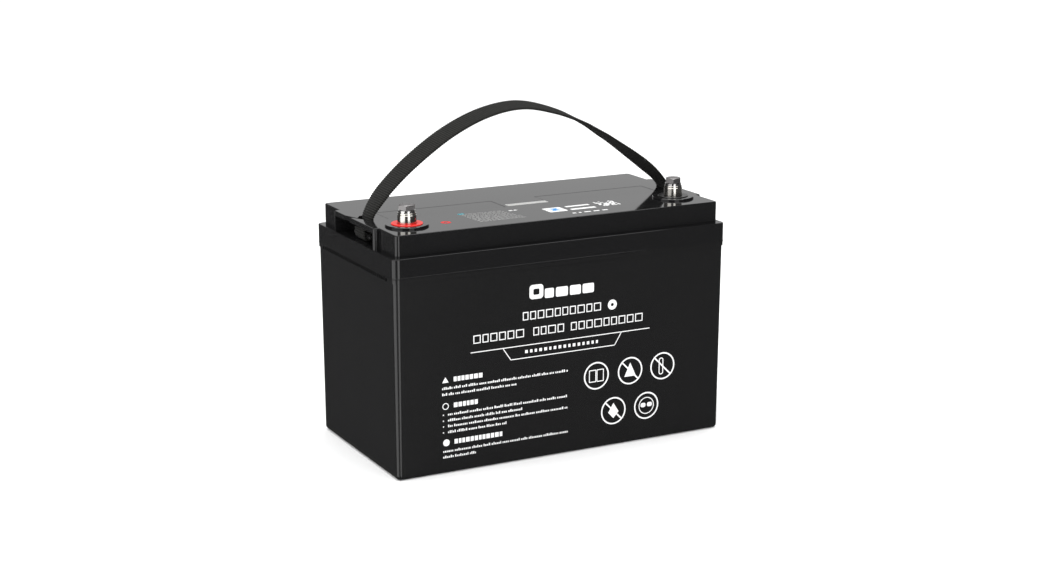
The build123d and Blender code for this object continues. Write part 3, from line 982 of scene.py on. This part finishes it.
def text_row(rng: random.Random, left: float, right: float, middle: float, style: FinePrint) -> list[Block]:
    """Fine row of blocks grouped like words.

    Args:
        rng: seeded random source.
        left: start of the row.
        right: end of the row.
        middle: height of the row's middle line.
        style: block sizes.

    Returns:
        The blocks.
    """
    blocks, x, rest = [], left, rng.randint(*style.word)
    while x < right - style.widths[0]:
        width, tall = rng.uniform(*style.widths), rng.random() < style.tall_share
        height = style.tall if tall else style.low
        blocks.append(Block(x + width / 2, middle - style.drop + height / 2, width, height))
        rest -= 1
        x += width + (style.gap if rest else style.word_gap)
        rest = rest or rng.randint(*style.word)
    return blocks


def block_piece(
    name: str,
    face: FaceMap,
    blocks: list[Block],
    tree: bpy.types.NodeTree,
    material: bpy.types.Material,
    stroke: float = 1.0,
    thickness: float = 0.12,
) -> bpy.types.Object:
    """Piece of ink blocks made by geometry nodes.

    Args:
        name: piece name.
        face: face the blocks lie on.
        blocks: the blocks.
        tree: solid or hollow block tree.
        material: its ink.
        stroke: line width of hollow blocks.
        thickness: block thickness, half of it below the face.

    Returns:
        The piece.
    """
    carrier = add_mesh(name, [face.at(block.x, block.y, BLOCK_LIFT) for block in blocks], [], None)
    turn = Matrix((face.right, face.up, face.out)).transposed().to_euler()
    for label, values in (
        ("block_width", [block.width * MM for block in blocks]),
        ("block_height", [block.height * MM for block in blocks]),
    ):
        carrier.data.attributes.new(label, "FLOAT", "POINT").data.foreach_set("value", values)
    turns = carrier.data.attributes.new("block_turn", "FLOAT_VECTOR", "POINT")
    turns.data.foreach_set("vector", [value for _ in blocks for value in turn])
    bake_nodes(carrier, tree, {"Stroke": stroke * MM, "Thickness": thickness * MM, "Material": material})
    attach(carrier, Body.HOUSING.value)
    return carrier


# ---------------------------------------------------------------- sub-assemblies


@dataclass
class Housing:
    """Case, lid and what closes them."""

    def dress(self, paints: Paints) -> int:
        """Give the moulded parts their finishes.

        Args:
            paints: materials.

        Returns:
            Number of nodes dressed.
        """
        finishes = {
            "case": CASE_PLASTIC,
            "lid": LID_PLASTIC,
            "left_cover_panel": PANEL_PLASTIC,
            "right_cover_panel": PANEL_PLASTIC,
            "lid_seal": SEAL_RUBBER,
            "strap_anchor_left": BLACK_PLASTIC,
            "strap_anchor_right": BLACK_PLASTIC,
        }
        for node, finish in finishes.items():
            paints.dress(node, finish)
        return len(finishes)


@dataclass
class PartingLine:
    """Weld bead where lid and case meet, and the row of small moulded teeth under it on both end faces, coloured near
    black as painted shade for the shade of the notches there.
    """

    bead_radius: float = 0.75
    bead_sunk: float = 0.25
    bead_corner: float = 5.4
    bead_sides: int = 12
    corner_steps: int = 8
    pitch: float = 4.4
    reach: float = 71.0
    width: float = 1.1
    height: float = 3.0
    proud: float = 0.35
    drop: float = 2.6

    def build(self, paints: Paints, trees: NodeTrees) -> list[bpy.types.Object]:
        """Build the bead and one row of teeth for each end.

        Args:
            paints: materials.
            trees: geometry node trees.

        Returns:
            The pieces.
        """
        low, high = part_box("case")
        count = int(self.reach / self.pitch)
        pieces = [self.bead(paints)]
        for name, x, right in (("left", low[0], -1.0), ("right", high[0], 1.0)):
            origin = Vector((x / MM, 0.0, self.level() - self.drop))
            face = FaceMap(origin, Vector((0.0, right, 0.0)), Vector((0.0, 0.0, 1.0)))
            row = [Block(index * self.pitch, 0.0, self.width, self.height) for index in range(-count, count + 1)]
            # The teeth's near-black colour is painted shade for the shade inside the notches.
            ink = paints.get(TOOTH_PAINTED_SHADE)
            pieces.append(
                block_piece(
                    f"parting_teeth_{name}",
                    face,
                    row,
                    trees.solid_blocks,
                    ink,
                    thickness=2 * self.proud,
                )
            )
        return pieces

    @staticmethod
    def level() -> float:
        """Height of the parting line in millimetres."""
        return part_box("case")[1][2] / MM

    def bead(self, paints: Paints) -> bpy.types.Object:
        """Rounded bead all the way round.

        Args:
            paints: materials.

        Returns:
            The piece.
        """
        low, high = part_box("case")
        size = [(top - foot) / MM - 2 * self.bead_sunk for foot, top in zip(low, high)]
        path = rounded_box((0.0, 0.0), size[0], size[1], self.bead_corner, self.corner_steps)
        verts, faces, sides = [], [], self.bead_sides
        for index, (x, y) in enumerate(path):
            before, after = path[index - 1], path[(index + 1) % len(path)]
            run = Vector((after[0] - before[0], after[1] - before[1])).normalized()
            for step in range(sides):
                angle = math.tau * step / sides
                out, up = self.bead_radius * math.cos(angle), self.bead_radius * math.sin(angle)
                verts.append(Vector((x + run.y * out, y - run.x * out, self.level() + up)) * MM)
        for index in range(len(path)):
            for step in range(sides):
                a, b = index * sides, (index + 1) % len(path) * sides
                after = (step + 1) % sides
                faces.append((a + step, b + step, b + after, a + after))
        bead = make_piece("parting_bead", verts, faces, paints.get(LID_PLASTIC), Body.HOUSING)
        bead.data.polygons.foreach_set("use_smooth", [True] * len(faces))
        return bead


@dataclass
class Terminals:
    """Posts, rings, washers and bolts."""

    def dress(self, paints: Paints) -> int:
        """Give the terminals their finishes.

        Args:
            paints: materials.

        Returns:
            Number of nodes dressed.
        """
        finishes = {"positive_ring": RED_PLASTIC, "negative_ring": BLACK_PLASTIC}
        for side in ("positive", "negative"):
            finishes[f"{side}_post"] = NICKEL
            finishes[f"{side}_flat_washer"] = NICKEL
            finishes[f"{side}_spring_washer"] = STEEL
            finishes[f"{side}_bolt"] = ZINC
        finishes["post_nuts"] = STEEL
        finishes["post_o_rings"] = SEAL_RUBBER
        for node, finish in finishes.items():
            paints.dress(node, finish)
        return len(finishes)


@dataclass
class CellPack:
    """Cells, board and leads inside the case."""

    def dress(self, paints: Paints) -> int:
        """Give the inner parts their finishes.

        Args:
            paints: materials.

        Returns:
            Number of nodes dressed.
        """
        finishes = {f"cell_{index}": CELL_FILM for index in range(1, 5)}
        finishes |= {
            "base_pad": PAD_RUBBER,
            "cell_spacers": BLACK_PLASTIC,
            "cell_poles": ALUMINIUM,
            "cell_busbars": NICKEL,
            "busbar_nuts": STEEL,
            "end_plate_left": ALUMINIUM,
            "end_plate_right": ALUMINIUM,
            "end_foam_left": FOAM,
            "end_foam_right": FOAM,
            "pack_bands": STEEL,
            "bms_tray": BLACK_PLASTIC,
            "bms_board": BOARD_GREEN,
            "bms_screws": STEEL,
            "bms_transistors": BLACK_PLASTIC,
            "bms_heat_sink": ALUMINIUM,
            "bms_connector": WHITE_PLASTIC,
            "radio_module": BOARD_GREEN,
            "thermistor": BLACK_PLASTIC,
            "lead_lugs": NICKEL,
            "positive_lead": RED_LEAD,
            "battery_lead": BLACK_LEAD,
            "negative_lead": BLACK_LEAD,
        }
        for node, finish in finishes.items():
            paints.dress(node, finish)
        return len(finishes)


@dataclass
class FrontPrint:
    """White print on the front face, with plain blocks in place of words."""

    lean: float = math.radians(0.4)
    flange_height: float = 174.5
    side_step: float = 0.8
    symbol_radius: float = 12.8
    symbol_stroke: float = 1.35
    emblem_center: Point2 = (-29.3, 153.0)
    emblem_bars: tuple[Point2, ...] = ((-16.5, 9.0), (-4.0, 12.0), (9.5, 11.0), (22.5, 11.5))
    bar_level: float = 150.4
    divider_level: float = 105.9
    tab_level: float = 94.5
    divider_stroke: float = 0.75
    title_rows: tuple[Row, ...] = (
        (-42.1, 36.3, 132.2),
        (-90.0, -38.6, 117.3),
        (-31.7, -0.7, 117.3),
        (5.8, 84.0, 117.3),
    )
    title_height: float = 6.6
    title_widths: Point2 = (4.6, 7.0)
    title_gap: float = 2.6
    title_stroke: float = 1.25
    tab_row: Row = (-40.2, 35.6, 100.1)
    heading_rows: tuple[Row, ...] = ((-109.4, -80.0, 84.7), (-109.4, -83.9, 61.4), (-108.9, -62.4, 28.3))
    heading_height: float = 4.2
    heading_widths: Point2 = (2.4, 3.6)
    heading_gap: float = 0.9
    note_rows: tuple[Row, ...] = (
        (-120.4, 3.6, 77.2),
        (-120.4, -48.4, 71.8),
        (-115.0, 1.9, 53.6),
        (-115.0, -42.1, 48.2),
        (-115.0, 3.1, 43.0),
        (-115.0, -57.7, 37.6),
        (-119.8, 4.1, 20.4),
        (-119.8, -87.6, 15.2),
    )
    bullet_left: float = -119.4
    bullet_levels: tuple[float, ...] = (53.6, 48.2, 43.0, 37.6)

    def face(self) -> FaceMap:
        """Front face of the case, from its drafted wall.

        Returns:
            The face.
        """
        low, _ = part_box("case")
        front = low[1] / MM + self.side_step
        up = Vector((0.0, -math.sin(self.lean), math.cos(self.lean)))
        foot = Vector((0.0, front + self.flange_height * math.tan(self.lean), 0.0))
        return FaceMap(foot, Vector((1.0, 0.0, 0.0)), up)

    def build(self, paints: Paints, trees: NodeTrees) -> list[bpy.types.Object]:
        """Build the print.

        Args:
            paints: materials.
            trees: geometry node trees.

        Returns:
            The pieces.
        """
        rng = random.Random(SEED)
        face, ink = self.face(), paints.get(WHITE_INK)
        emblem = PrintLayer(face)
        emblem.band(
            rounded_box(self.emblem_center, 13.6, 12.8, 3.0), rounded_box(self.emblem_center, 6.0, 5.4, 1.2)
        )
        for bar_x, bar_width in self.emblem_bars:
            emblem.solid(rounded_box((bar_x, self.bar_level), bar_width, 8.6, 1.4))
        emblem.ring((47.3, 132.3), 4.6, 3.1)

        divider = PrintLayer(face)
        high, low = self.divider_level, self.tab_level
        divider.line((-93.1, high), (86.4, high), self.divider_stroke)
        tab = [(-62.0, high), (-54.2, low), (50.2, low), (57.2, high)]
        for start, end in zip(tab, tab[1:]):
            divider.line(start, end, self.divider_stroke)

        titles = []
        for row in self.title_rows:
            titles += mark_row(rng, *row, self.title_height, self.title_widths, self.title_gap)
        words = mark_row(rng, *self.tab_row, 2.8, (2.0, 2.8), 2.3)
        for row in self.heading_rows:
            words += mark_row(rng, *row, self.heading_height, self.heading_widths, self.heading_gap)
        for row in self.note_rows:
            words += text_row(rng, *row, FinePrint())
        words += [Block(self.bullet_left, middle, 1.0, 1.0) for middle in self.bullet_levels]

        marks = PrintLayer(face)
        marks.solid([(-120.3, 82.4), (-114.3, 82.4), (-117.3, 87.4)])
        marks.ring((-117.2, 61.2), 3.0, 0.7)
        marks.solid(circle((-116.7, 28.2), 3.1, 40))
        return [
            emblem.piece("front_emblem", ink),
            divider.piece("front_divider", ink),
            marks.piece("front_heading_marks", ink),
            self.symbols(face).piece("front_symbols", ink),
            block_piece("front_title_blocks", face, titles, trees.hollow_blocks, ink, self.title_stroke),
            block_piece("front_note_blocks", face, words, trees.solid_blocks, ink),
        ]

    def symbols(self, face: FaceMap) -> PrintLayer:
        """Five rings, each round a plain shape.

        Args:
            face: face they lie on.

        Returns:
            The layer.
        """
        layer = PrintLayer(face)
        centers = [(31.9, 68.3), (66.9, 68.3), (101.0, 68.3), (50.0, 32.9), (84.6, 32.9)]
        for center in centers:
            layer.ring(center, self.symbol_radius, self.symbol_stroke)
        (ax, ay), (bx, by), (cx, cy), (dx, dy), (ex, ey) = centers
        for side in (-1, 1):
            spot = (ax + side * 3.9, ay)
            layer.band(rounded_box(spot, 7.4, 11.6, 0.8), rounded_box(spot, 5.8, 10.0, 0.4))
            layer.solid(rounded_box((ex + side * 3.4, ey + 0.8), 5.2, 4.0, 1.7))
        layer.solid([(bx - 6.0, by - 5.2), (bx + 6.0, by - 5.2), (bx, by + 7.6)])
        layer.band(rounded_box((cx - 1.5, cy), 4.8, 16.0, 2.3), rounded_box((cx - 1.5, cy), 3.0, 14.2, 1.4))
        layer.solid([(dx, dy - 7.0), (dx + 5.4, dy - 1.2), (dx, dy + 7.4), (dx - 5.4, dy - 1.2)])
        layer.ring((ex, ey), 8.0, 0.8)
        reach = (self.symbol_radius - self.symbol_stroke / 2) * math.sqrt(0.5)
        slashes = PrintLayer(face, sunk=-0.05, proud=0.11)
        for x, y in ((bx, by), (cx, cy), (dx, dy)):
            slashes.line((x - reach, y + reach), (x + reach, y - reach), self.symbol_stroke)
        layer.join(slashes)
        return layer


@dataclass
class LidPrint:
    """Small labels on the lid, with plain blocks in place of words and marks."""

    lift: float = 0.1
    faint_start: Row = (-74.5, -34.0, -26.0)
    faint_step: Row = (0.4, 1.1, -4.2)
    faint_rows: int = 9
    red_center: Point2 = (-98.6, -48.9)
    patch_center: Point2 = (67.0, -39.5)
    patch_cells: int = 11
    patch_pitch: float = 1.75
    patch_block: float = 1.6
    patch_share: float = 0.52

    def face(self) -> FaceMap:
        """Top face of the lid crown; its up runs to the back.

        Returns:
            The face.
        """
        _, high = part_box("left_cover_panel")
        top = Vector((0.0, 0.0, high[2] / MM + self.lift))
        return FaceMap(top, Vector((1.0, 0.0, 0.0)), Vector((0.0, 1.0, 0.0)))

    def build(self, paints: Paints, trees: NodeTrees) -> list[bpy.types.Object]:
        """Build the labels.

        Args:
            paints: materials.
            trees: geometry node trees.

        Returns:
            The pieces.
        """
        rng = random.Random(SEED + 1)
        face = self.face()
        strip = PrintLayer(face)
        strip.solid(rounded_box((2.0, -7.0), 41.0, 8.0, 0.8))
        white = PrintLayer(face)
        white.solid(rounded_box((10.6, -44.4), 18.0, 17.6, 1.6))
        white.solid(rounded_box((37.0, -37.4), 24.0, 4.4, 0.6))
        white.solid(rounded_box((36.5, -49.8), 25.0, 5.0, 0.6))
        red = PrintLayer(face)
        red.band(circle(self.red_center, 4.6), circle(self.red_center, 1.7))
        teal = PrintLayer(face)
        teal.solid(rounded_box((-71.8, -23.2), 6.0, 4.0, 0.6))
        blue = PrintLayer(face, sunk=-0.02, proud=0.12)
        blue.solid([(5.4, -48.6), (15.8, -48.6), (12.6, -43.2), (15.4, -39.4), (6.4, -39.4), (9.4, -44.0)])

        faint = []
        for row in range(self.faint_rows):
            left, right, middle = (first + step * row for first, step in zip(self.faint_start, self.faint_step))
            faint += mark_row(rng, left, right, middle, 1.5, (1.2, 4.5), 0.9)
        marks = [Block(-26.0, -29.6, 3.2, 3.0), Block(-21.4, -29.6, 2.6, 3.0)]
        marks += mark_row(rng, 17.5, 54.0, -65.0, 2.6, (2.4, 7.0), 3.0)
        left, front = (middle - self.patch_cells * self.patch_pitch / 2 for middle in self.patch_center)
        for row in range(self.patch_cells):
            for column in range(self.patch_cells):
                if rng.random() < self.patch_share:
                    x, y = left + column * self.patch_pitch, front + row * self.patch_pitch
                    marks.append(Block(x, y, self.patch_block, self.patch_block))
        return [
            strip.piece("lid_grey_strip", paints.get(STRIP_INK)),
            white.piece("lid_white_labels", paints.get(WHITE_INK)),
            red.piece("lid_red_mark", paints.get(RED_INK)),
            teal.piece("lid_teal_mark", paints.get(TEAL_INK)),
            blue.piece("lid_blue_mark", paints.get(BLUE_INK)),
            block_piece("lid_faint_blocks", face, faint, trees.solid_blocks, paints.get(FAINT_INK)),
            block_piece("lid_white_blocks", face, marks, trees.solid_blocks, paints.get(WHITE_INK)),
        ]


@dataclass
class CarryStrap:
    """Webbing strap: one length from the left tail over the hand space to the right tail."""

    half_span: float = 151.7
    foot: float = 215.3
    apex: float = 305.2
    loop_bend: float = 3.1
    anchor_height: float = 200.1
    tail: float = 5.8
    thickness: float = 2.15
    width: float = 25.0
    end_width: float = 21.5
    cup: float = 1.2
    cup_level: float = 222.0
    cup_reach: float = 16.0
    cup_from: float = 206.0
    open_from: float = 214.0
    open_over: float = 22.0
    edge_share: float = 0.62
    inner_shift: float = 100.0
    step: float = 0.35
    across: int = 13
    sag: float = 1.7
    sag_share: float = 0.14
    rib_height: float = 0.22
    stitch_length: float = 2.3
    stitch_pitch: float = 3.0
    stitch_count: int = 6
    stitch_start: float = -7.5
    stitch_rows: tuple[float, ...] = (0.8, 4.0)
    arch: tuple[Point2, ...] = (
        (-1.0, 0.0),
        (-0.96, 0.14),
        (-0.87, 0.305),
        (-0.70, 0.545),
        (-0.48, 0.785),
        (-0.25, 0.945),
        (-0.02, 1.0),
        (0.20, 0.925),
        (0.40, 0.785),
        (0.60, 0.58),
        (0.78, 0.37),
        (0.90, 0.215),
        (0.97, 0.10),
        (1.0, 0.0),
    )
    leans: tuple[Point2, ...] = (
        (-1.0, 4.0),
        (-0.65, 7.5),
        (-0.2, 7.5),
        (0.12, 9.5),
        (0.28, 8.0),
        (0.45, 1.5),
        (0.58, -3.5),
        (0.82, -10.0),
        (1.0, -6.0),
    )

    def route(self) -> list[Vector]:
        """Centre line in the plane of the arch, evenly spaced.

        Returns:
            Points with x and z in millimetres.
        """
        rise = self.apex - self.foot
        arch = []
        for across, up in self.arch:
            level = self.foot + up * rise - self.sag * min(up / self.sag_share, 1.0)
            arch.append(Vector((across * self.half_span, level)))
        points = self._end_loop(-1) + self._smooth(arch) + self._end_loop(1)[::-1]
        return self._even(points)

    def _end_loop(self, side: int) -> list[Vector]:
        """Tail, loop round the bar and rise to the slot at one end.

        Args:
            side: -1 for the left end, 1 for the right.

        Returns:
            Points from the tail inward.
        """
        outer = self.half_span + 2 * self.loop_bend
        middle = self.half_span + self.loop_bend
        points = [Vector((side * outer, self.anchor_height + self.tail * (1 - index / 6))) for index in range(6)]
        for index in range(13):
            angle = math.pi * index / 12
            x = middle + self.loop_bend * math.cos(angle)
            points.append(Vector((side * x, self.anchor_height - self.loop_bend * math.sin(angle))))
        points += [Vector((side * self.half_span, self.anchor_height + rise)) for rise in (4.0, 8.0, 12.0)]
        return points

    @staticmethod
    def _smooth(points: list[Vector], parts: int = 24) -> list[Vector]:
        """Smooth curve through points.

        Args:
            points: points in order.
            parts: steps between each two.

        Returns:
            The curve's points.
        """
        ends = [points[0] + (points[0] - Vector((points[0].x, points[1].y)))] + points
        ends += [points[-1] + (points[-1] - Vector((points[-1].x, points[-2].y)))]
        curve = []
        for before, a, b, after in zip(ends, ends[1:], ends[2:], ends[3:]):
            leave = (b - before) * 0.5
            arrive = (after - a) * 0.5
            for index in range(parts):
                t = index / parts
                curve.append(
                    a * (2 * t**3 - 3 * t**2 + 1)
                    + leave * (t**3 - 2 * t**2 + t)
                    + b * (3 * t**2 - 2 * t**3)
                    + arrive * (t**3 - t**2)
                )
        return curve + [points[-1]]

    def _even(self, points: list[Vector]) -> list[Vector]:
        """Space points evenly along their line and soften its corners.

        Args:
            points: points in order.

        Returns:
            Evenly spaced points.
        """
        lengths = [0.0]
        for a, b in zip(points, points[1:]):
            lengths.append(lengths[-1] + (b - a).length)
        count = int(lengths[-1] / self.step)
        even, spot = [], 0
        for index in range(count + 1):
            want = lengths[-1] * index / count
            while spot < len(points) - 2 and lengths[spot + 1] < want:
                spot += 1
            run = max(lengths[spot + 1] - lengths[spot], 1e-9)
            even.append(points[spot].lerp(points[spot + 1], (want - lengths[spot]) / run))
        for _ in range(12):
            inner = [(a + b * 2 + c) / 4 for a, b, c in zip(even, even[1:], even[2:])]
            even = [even[0], *inner, even[-1]]
        return even

    def lean(self, share: float) -> float:
        """Sideways lean of the webbing along the arch, in radians.

        Args:
            share: place from -1 at the left foot to 1 at the right foot.

        Returns:
            The lean; positive puts the front edge lower.
        """
        for (low, first), (high, last) in zip(self.leans, self.leans[1:]):
            if share <= high:
                return math.radians(first + (last - first) * ease((share - low) / (high - low)))
        return math.radians(self.leans[-1][1])

    def _section(self, spot: Vector, run: Vector) -> list[tuple[Vector, float]]:
        """Ring of points round the webbing at one place.

        Args:
            spot: place on the centre line.
            run: direction of the centre line there.

        Returns:
            Points in metres, each with its place across the webbing in millimetres. The inner face's places
            are moved along by a fixed step, so the two faces don't share their pattern.
        """
        ahead = Vector((run.x, 0.0, run.y))
        outward = Vector((-run.y, 0.0, run.x))
        open_share = ease((spot.y - self.open_from) / self.open_over)
        half = (self.end_width + (self.width - self.end_width) * open_share) / 2
        cup = 0.0
        if spot.y > self.cup_from:
            cup = self.cup * math.exp(-(((spot.y - self.cup_level) / self.cup_reach) ** 2))
        tilt = self.lean(spot.x / self.half_span) * open_share
        side = Vector((0.0, 1.0, 0.0)) * math.cos(tilt) + outward * math.sin(tilt)
        face_out = side.cross(ahead).normalized() * -1
        center = Vector((spot.x, 0.0, spot.y))
        ring = []
        for face_side, shift in ((1, 0.0), (-1, self.inner_shift)):
            for step in range(self.across):
                place = face_side * (2 * step / (self.across - 1) - 1)
                edge = math.sqrt(max(1 - abs(place) ** 6, 0.0)) if abs(place) > 0.5 else 1.0
                thick = self.thickness / 2 * (self.edge_share + (1 - self.edge_share) * edge)
                point = center + side * (half * place) + face_out * (face_side * thick - cup * place * place)
                ring.append((point * MM, place * half + shift))
        return ring

    def build(self, paints: Paints, trees: NodeTrees) -> list[bpy.types.Object]:
        """Build the strap and its stitches.

        Args:
            paints: materials.
            trees: geometry node trees.

        Returns:
            The pieces.
        """
        route = self.route()
        verts, faces, along_values, uvs = [], [], [], []
        ring = 2 * self.across
        along = 0.0
        for index, spot in enumerate(route):
            if index:
                along += (spot - route[index - 1]).length
            before, after = route[max(index - 1, 0)], route[min(index + 1, len(route) - 1)]
            for point, place in self._section(spot, (after - before).normalized()):
                verts.append(point)
                along_values.append(along)
                uvs.append((along, place))
        for row in range(len(route) - 1):
            for step in range(ring):
                after = (step + 1) % ring
                a, b = row * ring + step, row * ring + after
                faces.append((a, b, b + ring, a + ring))
        faces.append(tuple(range(ring)))
        last = (len(route) - 1) * ring
        faces.append(tuple(last + index for index in reversed(range(ring))))
        strap = add_mesh("webbing_strap", verts, faces, None)
        strap.data.attributes.new("along", "FLOAT", "POINT").data.foreach_set("value", along_values)
        layer = strap.data.uv_layers.new(name="webbing")
        for loop in strap.data.loops:
            layer.data[loop.index].uv = uvs[loop.vertex_index]
        strap.data.polygons.foreach_set("use_smooth", [True] * len(strap.data.polygons))
        bake_nodes(
            strap,
            trees.ribs,
            {"Rib Pitch": RIB_PITCH, "Rib Height": self.rib_height * MM, "Material": paints.get(WEBBING)},
        )
        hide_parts("carry_strap", "strap_loop_left", "strap_loop_right")
        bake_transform(strap)
        return [strap, self.stitches(paints, trees)]

    def stitches(self, paints: Paints, trees: NodeTrees) -> bpy.types.Object:
        """Rows of stitches that close the loops, on the outer ply in each pocket.

        Args:
            paints: materials.
            trees: geometry node trees.

        Returns:
            The piece.
        """
        spots = []
        for side in (-1, 1):
            x = side * (self.half_span + 2 * self.loop_bend + self.thickness / 2 + 0.05)
            for row in self.stitch_rows:
                for index in range(self.stitch_count):
                    y = self.stitch_start + self.stitch_pitch * index
                    spots.append(Vector((x, y, self.anchor_height + row)) * MM)
        piece = add_mesh("loop_stitches", spots, [], None)
        turns = piece.data.attributes.new("block_turn", "FLOAT_VECTOR", "POINT")
        turns.data.foreach_set("vector", [value for _ in spots for value in (0.0, 0.0, math.pi / 2)])
        bake_nodes(piece, trees.stitches, {"Stitch Length": self.stitch_length * MM, "Material": paints.get(THREAD)})
        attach(piece, Body.HOUSING.value)
        return piece


@dataclass(frozen=True)
class Softbox:
    """Soft area light: degrees round from the camera, height, distance and size in metres, power in watts."""

    name: str
    turn: float
    height: float
    distance: float
    size: Point2
    power: float


@dataclass
class Studio:
    """Camera, floor and soft light."""

    azimuth: float = -27.6
    elevation: float = 13.74
    distance: float = 1.758
    target: tuple[float, float, float] = (0.0029, 0.0, 0.1387)
    lens: float = 65.88
    glow: float = 1.2
    backdrop: float = 0.66
    gloom: float = 0.07
    backdrop_edge: Point2 = (0.74, 0.93)
    floor_half: float = 6.0
    floor_shade: float = 0.93
    aim_height: float = 0.35
    lights: tuple[Softbox, ...] = (
        Softbox("softbox_left", -50.0, 0.05, 1.5, (1.6, 1.4), 12.0),
        Softbox("softbox_right", 23.0, 0.05, 1.5, (0.66, 1.4), 6.0),
        Softbox("softbox_top", 0.0, 2.0, 0.0, (2.4, 1.6), 30.0),
    )

    def build(self) -> None:
        """Build the studio."""
        self.camera()
        self.floor()
        self.world()
        for softbox in self.lights:
            self.light(softbox)
        bpy.context.scene.view_settings.view_transform = "Standard"

    def camera(self) -> None:
        """Place the camera."""
        across, up = math.radians(self.azimuth), math.radians(self.elevation)
        way = Vector((math.sin(across) * math.cos(up), -math.cos(across) * math.cos(up), math.sin(up)))
        data = bpy.data.cameras.new("camera")
        data.lens = self.lens
        data.sensor_width = 36.0
        camera = bpy.data.objects.new("camera", data)
        camera.location = Vector(self.target) + way * self.distance
        camera.rotation_euler = (-way).to_track_quat("-Z", "Y").to_euler()
        bpy.context.scene.collection.objects.link(camera)
        bpy.context.scene.camera = camera

    def floor(self) -> None:
        """Lay a plain pale floor."""
        signs = ((-1, -1), (1, -1), (1, 1), (-1, 1))
        corners = [Vector((x * self.floor_half, y * self.floor_half, 0.0)) for x, y in signs]
        material = bpy.data.materials.new("pale_floor")
        material.use_nodes = True
        shader = material.node_tree.nodes["Principled BSDF"]
        shader.inputs["Base Color"].default_value = (*[self.floor_shade] * 3, 1.0)
        shader.inputs["Roughness"].default_value = 0.9
        floor = add_mesh("studio_floor", corners, [(0, 1, 2, 3)], material)
        floor.visible_glossy = False

    def world(self) -> None:
        """White surroundings; only the backdrop behind the battery shows bright in reflections."""
        world = bpy.data.worlds.new("studio_world")
        world.use_nodes = True
        bpy.context.scene.world = world
        world.node_tree.nodes.clear()
        board = NodeBoard(world.node_tree)
        ahead = math.radians(self.azimuth)
        toward = board.add(
            "ShaderNodeVectorMath",
            {0: board.add("ShaderNodeTexCoord").outputs["Generated"], 1: (-math.sin(ahead), math.cos(ahead), 0.0)},
            operation="DOT_PRODUCT",
        )
        ramp = board.add(
            "ShaderNodeMapRange",
            {
                0: toward.outputs["Value"],
                1: self.backdrop_edge[0],
                2: self.backdrop_edge[1],
                3: self.gloom,
                4: self.backdrop,
            },
            interpolation_type="SMOOTHSTEP",
        )
        mirrored = board.add("ShaderNodeLightPath").outputs["Is Glossy Ray"]
        strength = board.add("ShaderNodeMix", {0: mirrored, 2: self.glow, 3: ramp.outputs[0]})
        back = board.add("ShaderNodeBackground", {"Color": (1.0, 1.0, 1.0, 1.0), "Strength": strength.outputs[0]})
        board.add("ShaderNodeOutputWorld", {0: back.outputs[0]})

    def light(self, softbox: Softbox) -> None:
        """Add a soft area light that faces the battery.

        Args:
            softbox: its place, size and power.
        """
        data = bpy.data.lights.new(softbox.name, "AREA")
        data.shape = "RECTANGLE"
        data.size, data.size_y = softbox.size
        data.energy = softbox.power
        light = bpy.data.objects.new(softbox.name, data)
        azimuth = math.radians(self.azimuth) + math.radians(softbox.turn)
        across, back = math.sin(azimuth) * softbox.distance, -math.cos(azimuth) * softbox.distance
        light.location = (across, back, softbox.height)
        aim = Vector((0.0, 0.0, min(softbox.height, self.aim_height))) - light.location
        light.rotation_euler = aim.to_track_quat("-Z", "Y").to_euler()
        bpy.context.scene.collection.objects.link(light)


def main() -> None:
    """Build the battery in order and report each part."""
    logging.basicConfig(level=logging.INFO, format="%(name)s: %(message)s")
    paints, trees = Paints(), NodeTrees()
    for part in (Housing(), Terminals(), CellPack()):
        LOG.info("%s: %d nodes dressed", type(part).__name__, part.dress(paints))
    for part in (PartingLine(), FrontPrint(), LidPrint(), CarryStrap()):
        for piece in part.build(paints, trees):
            LOG.info("%s: %s has %d faces", type(part).__name__, piece.name, len(piece.data.polygons))
    Studio().build()


if __name__ == "__main__":
    main()
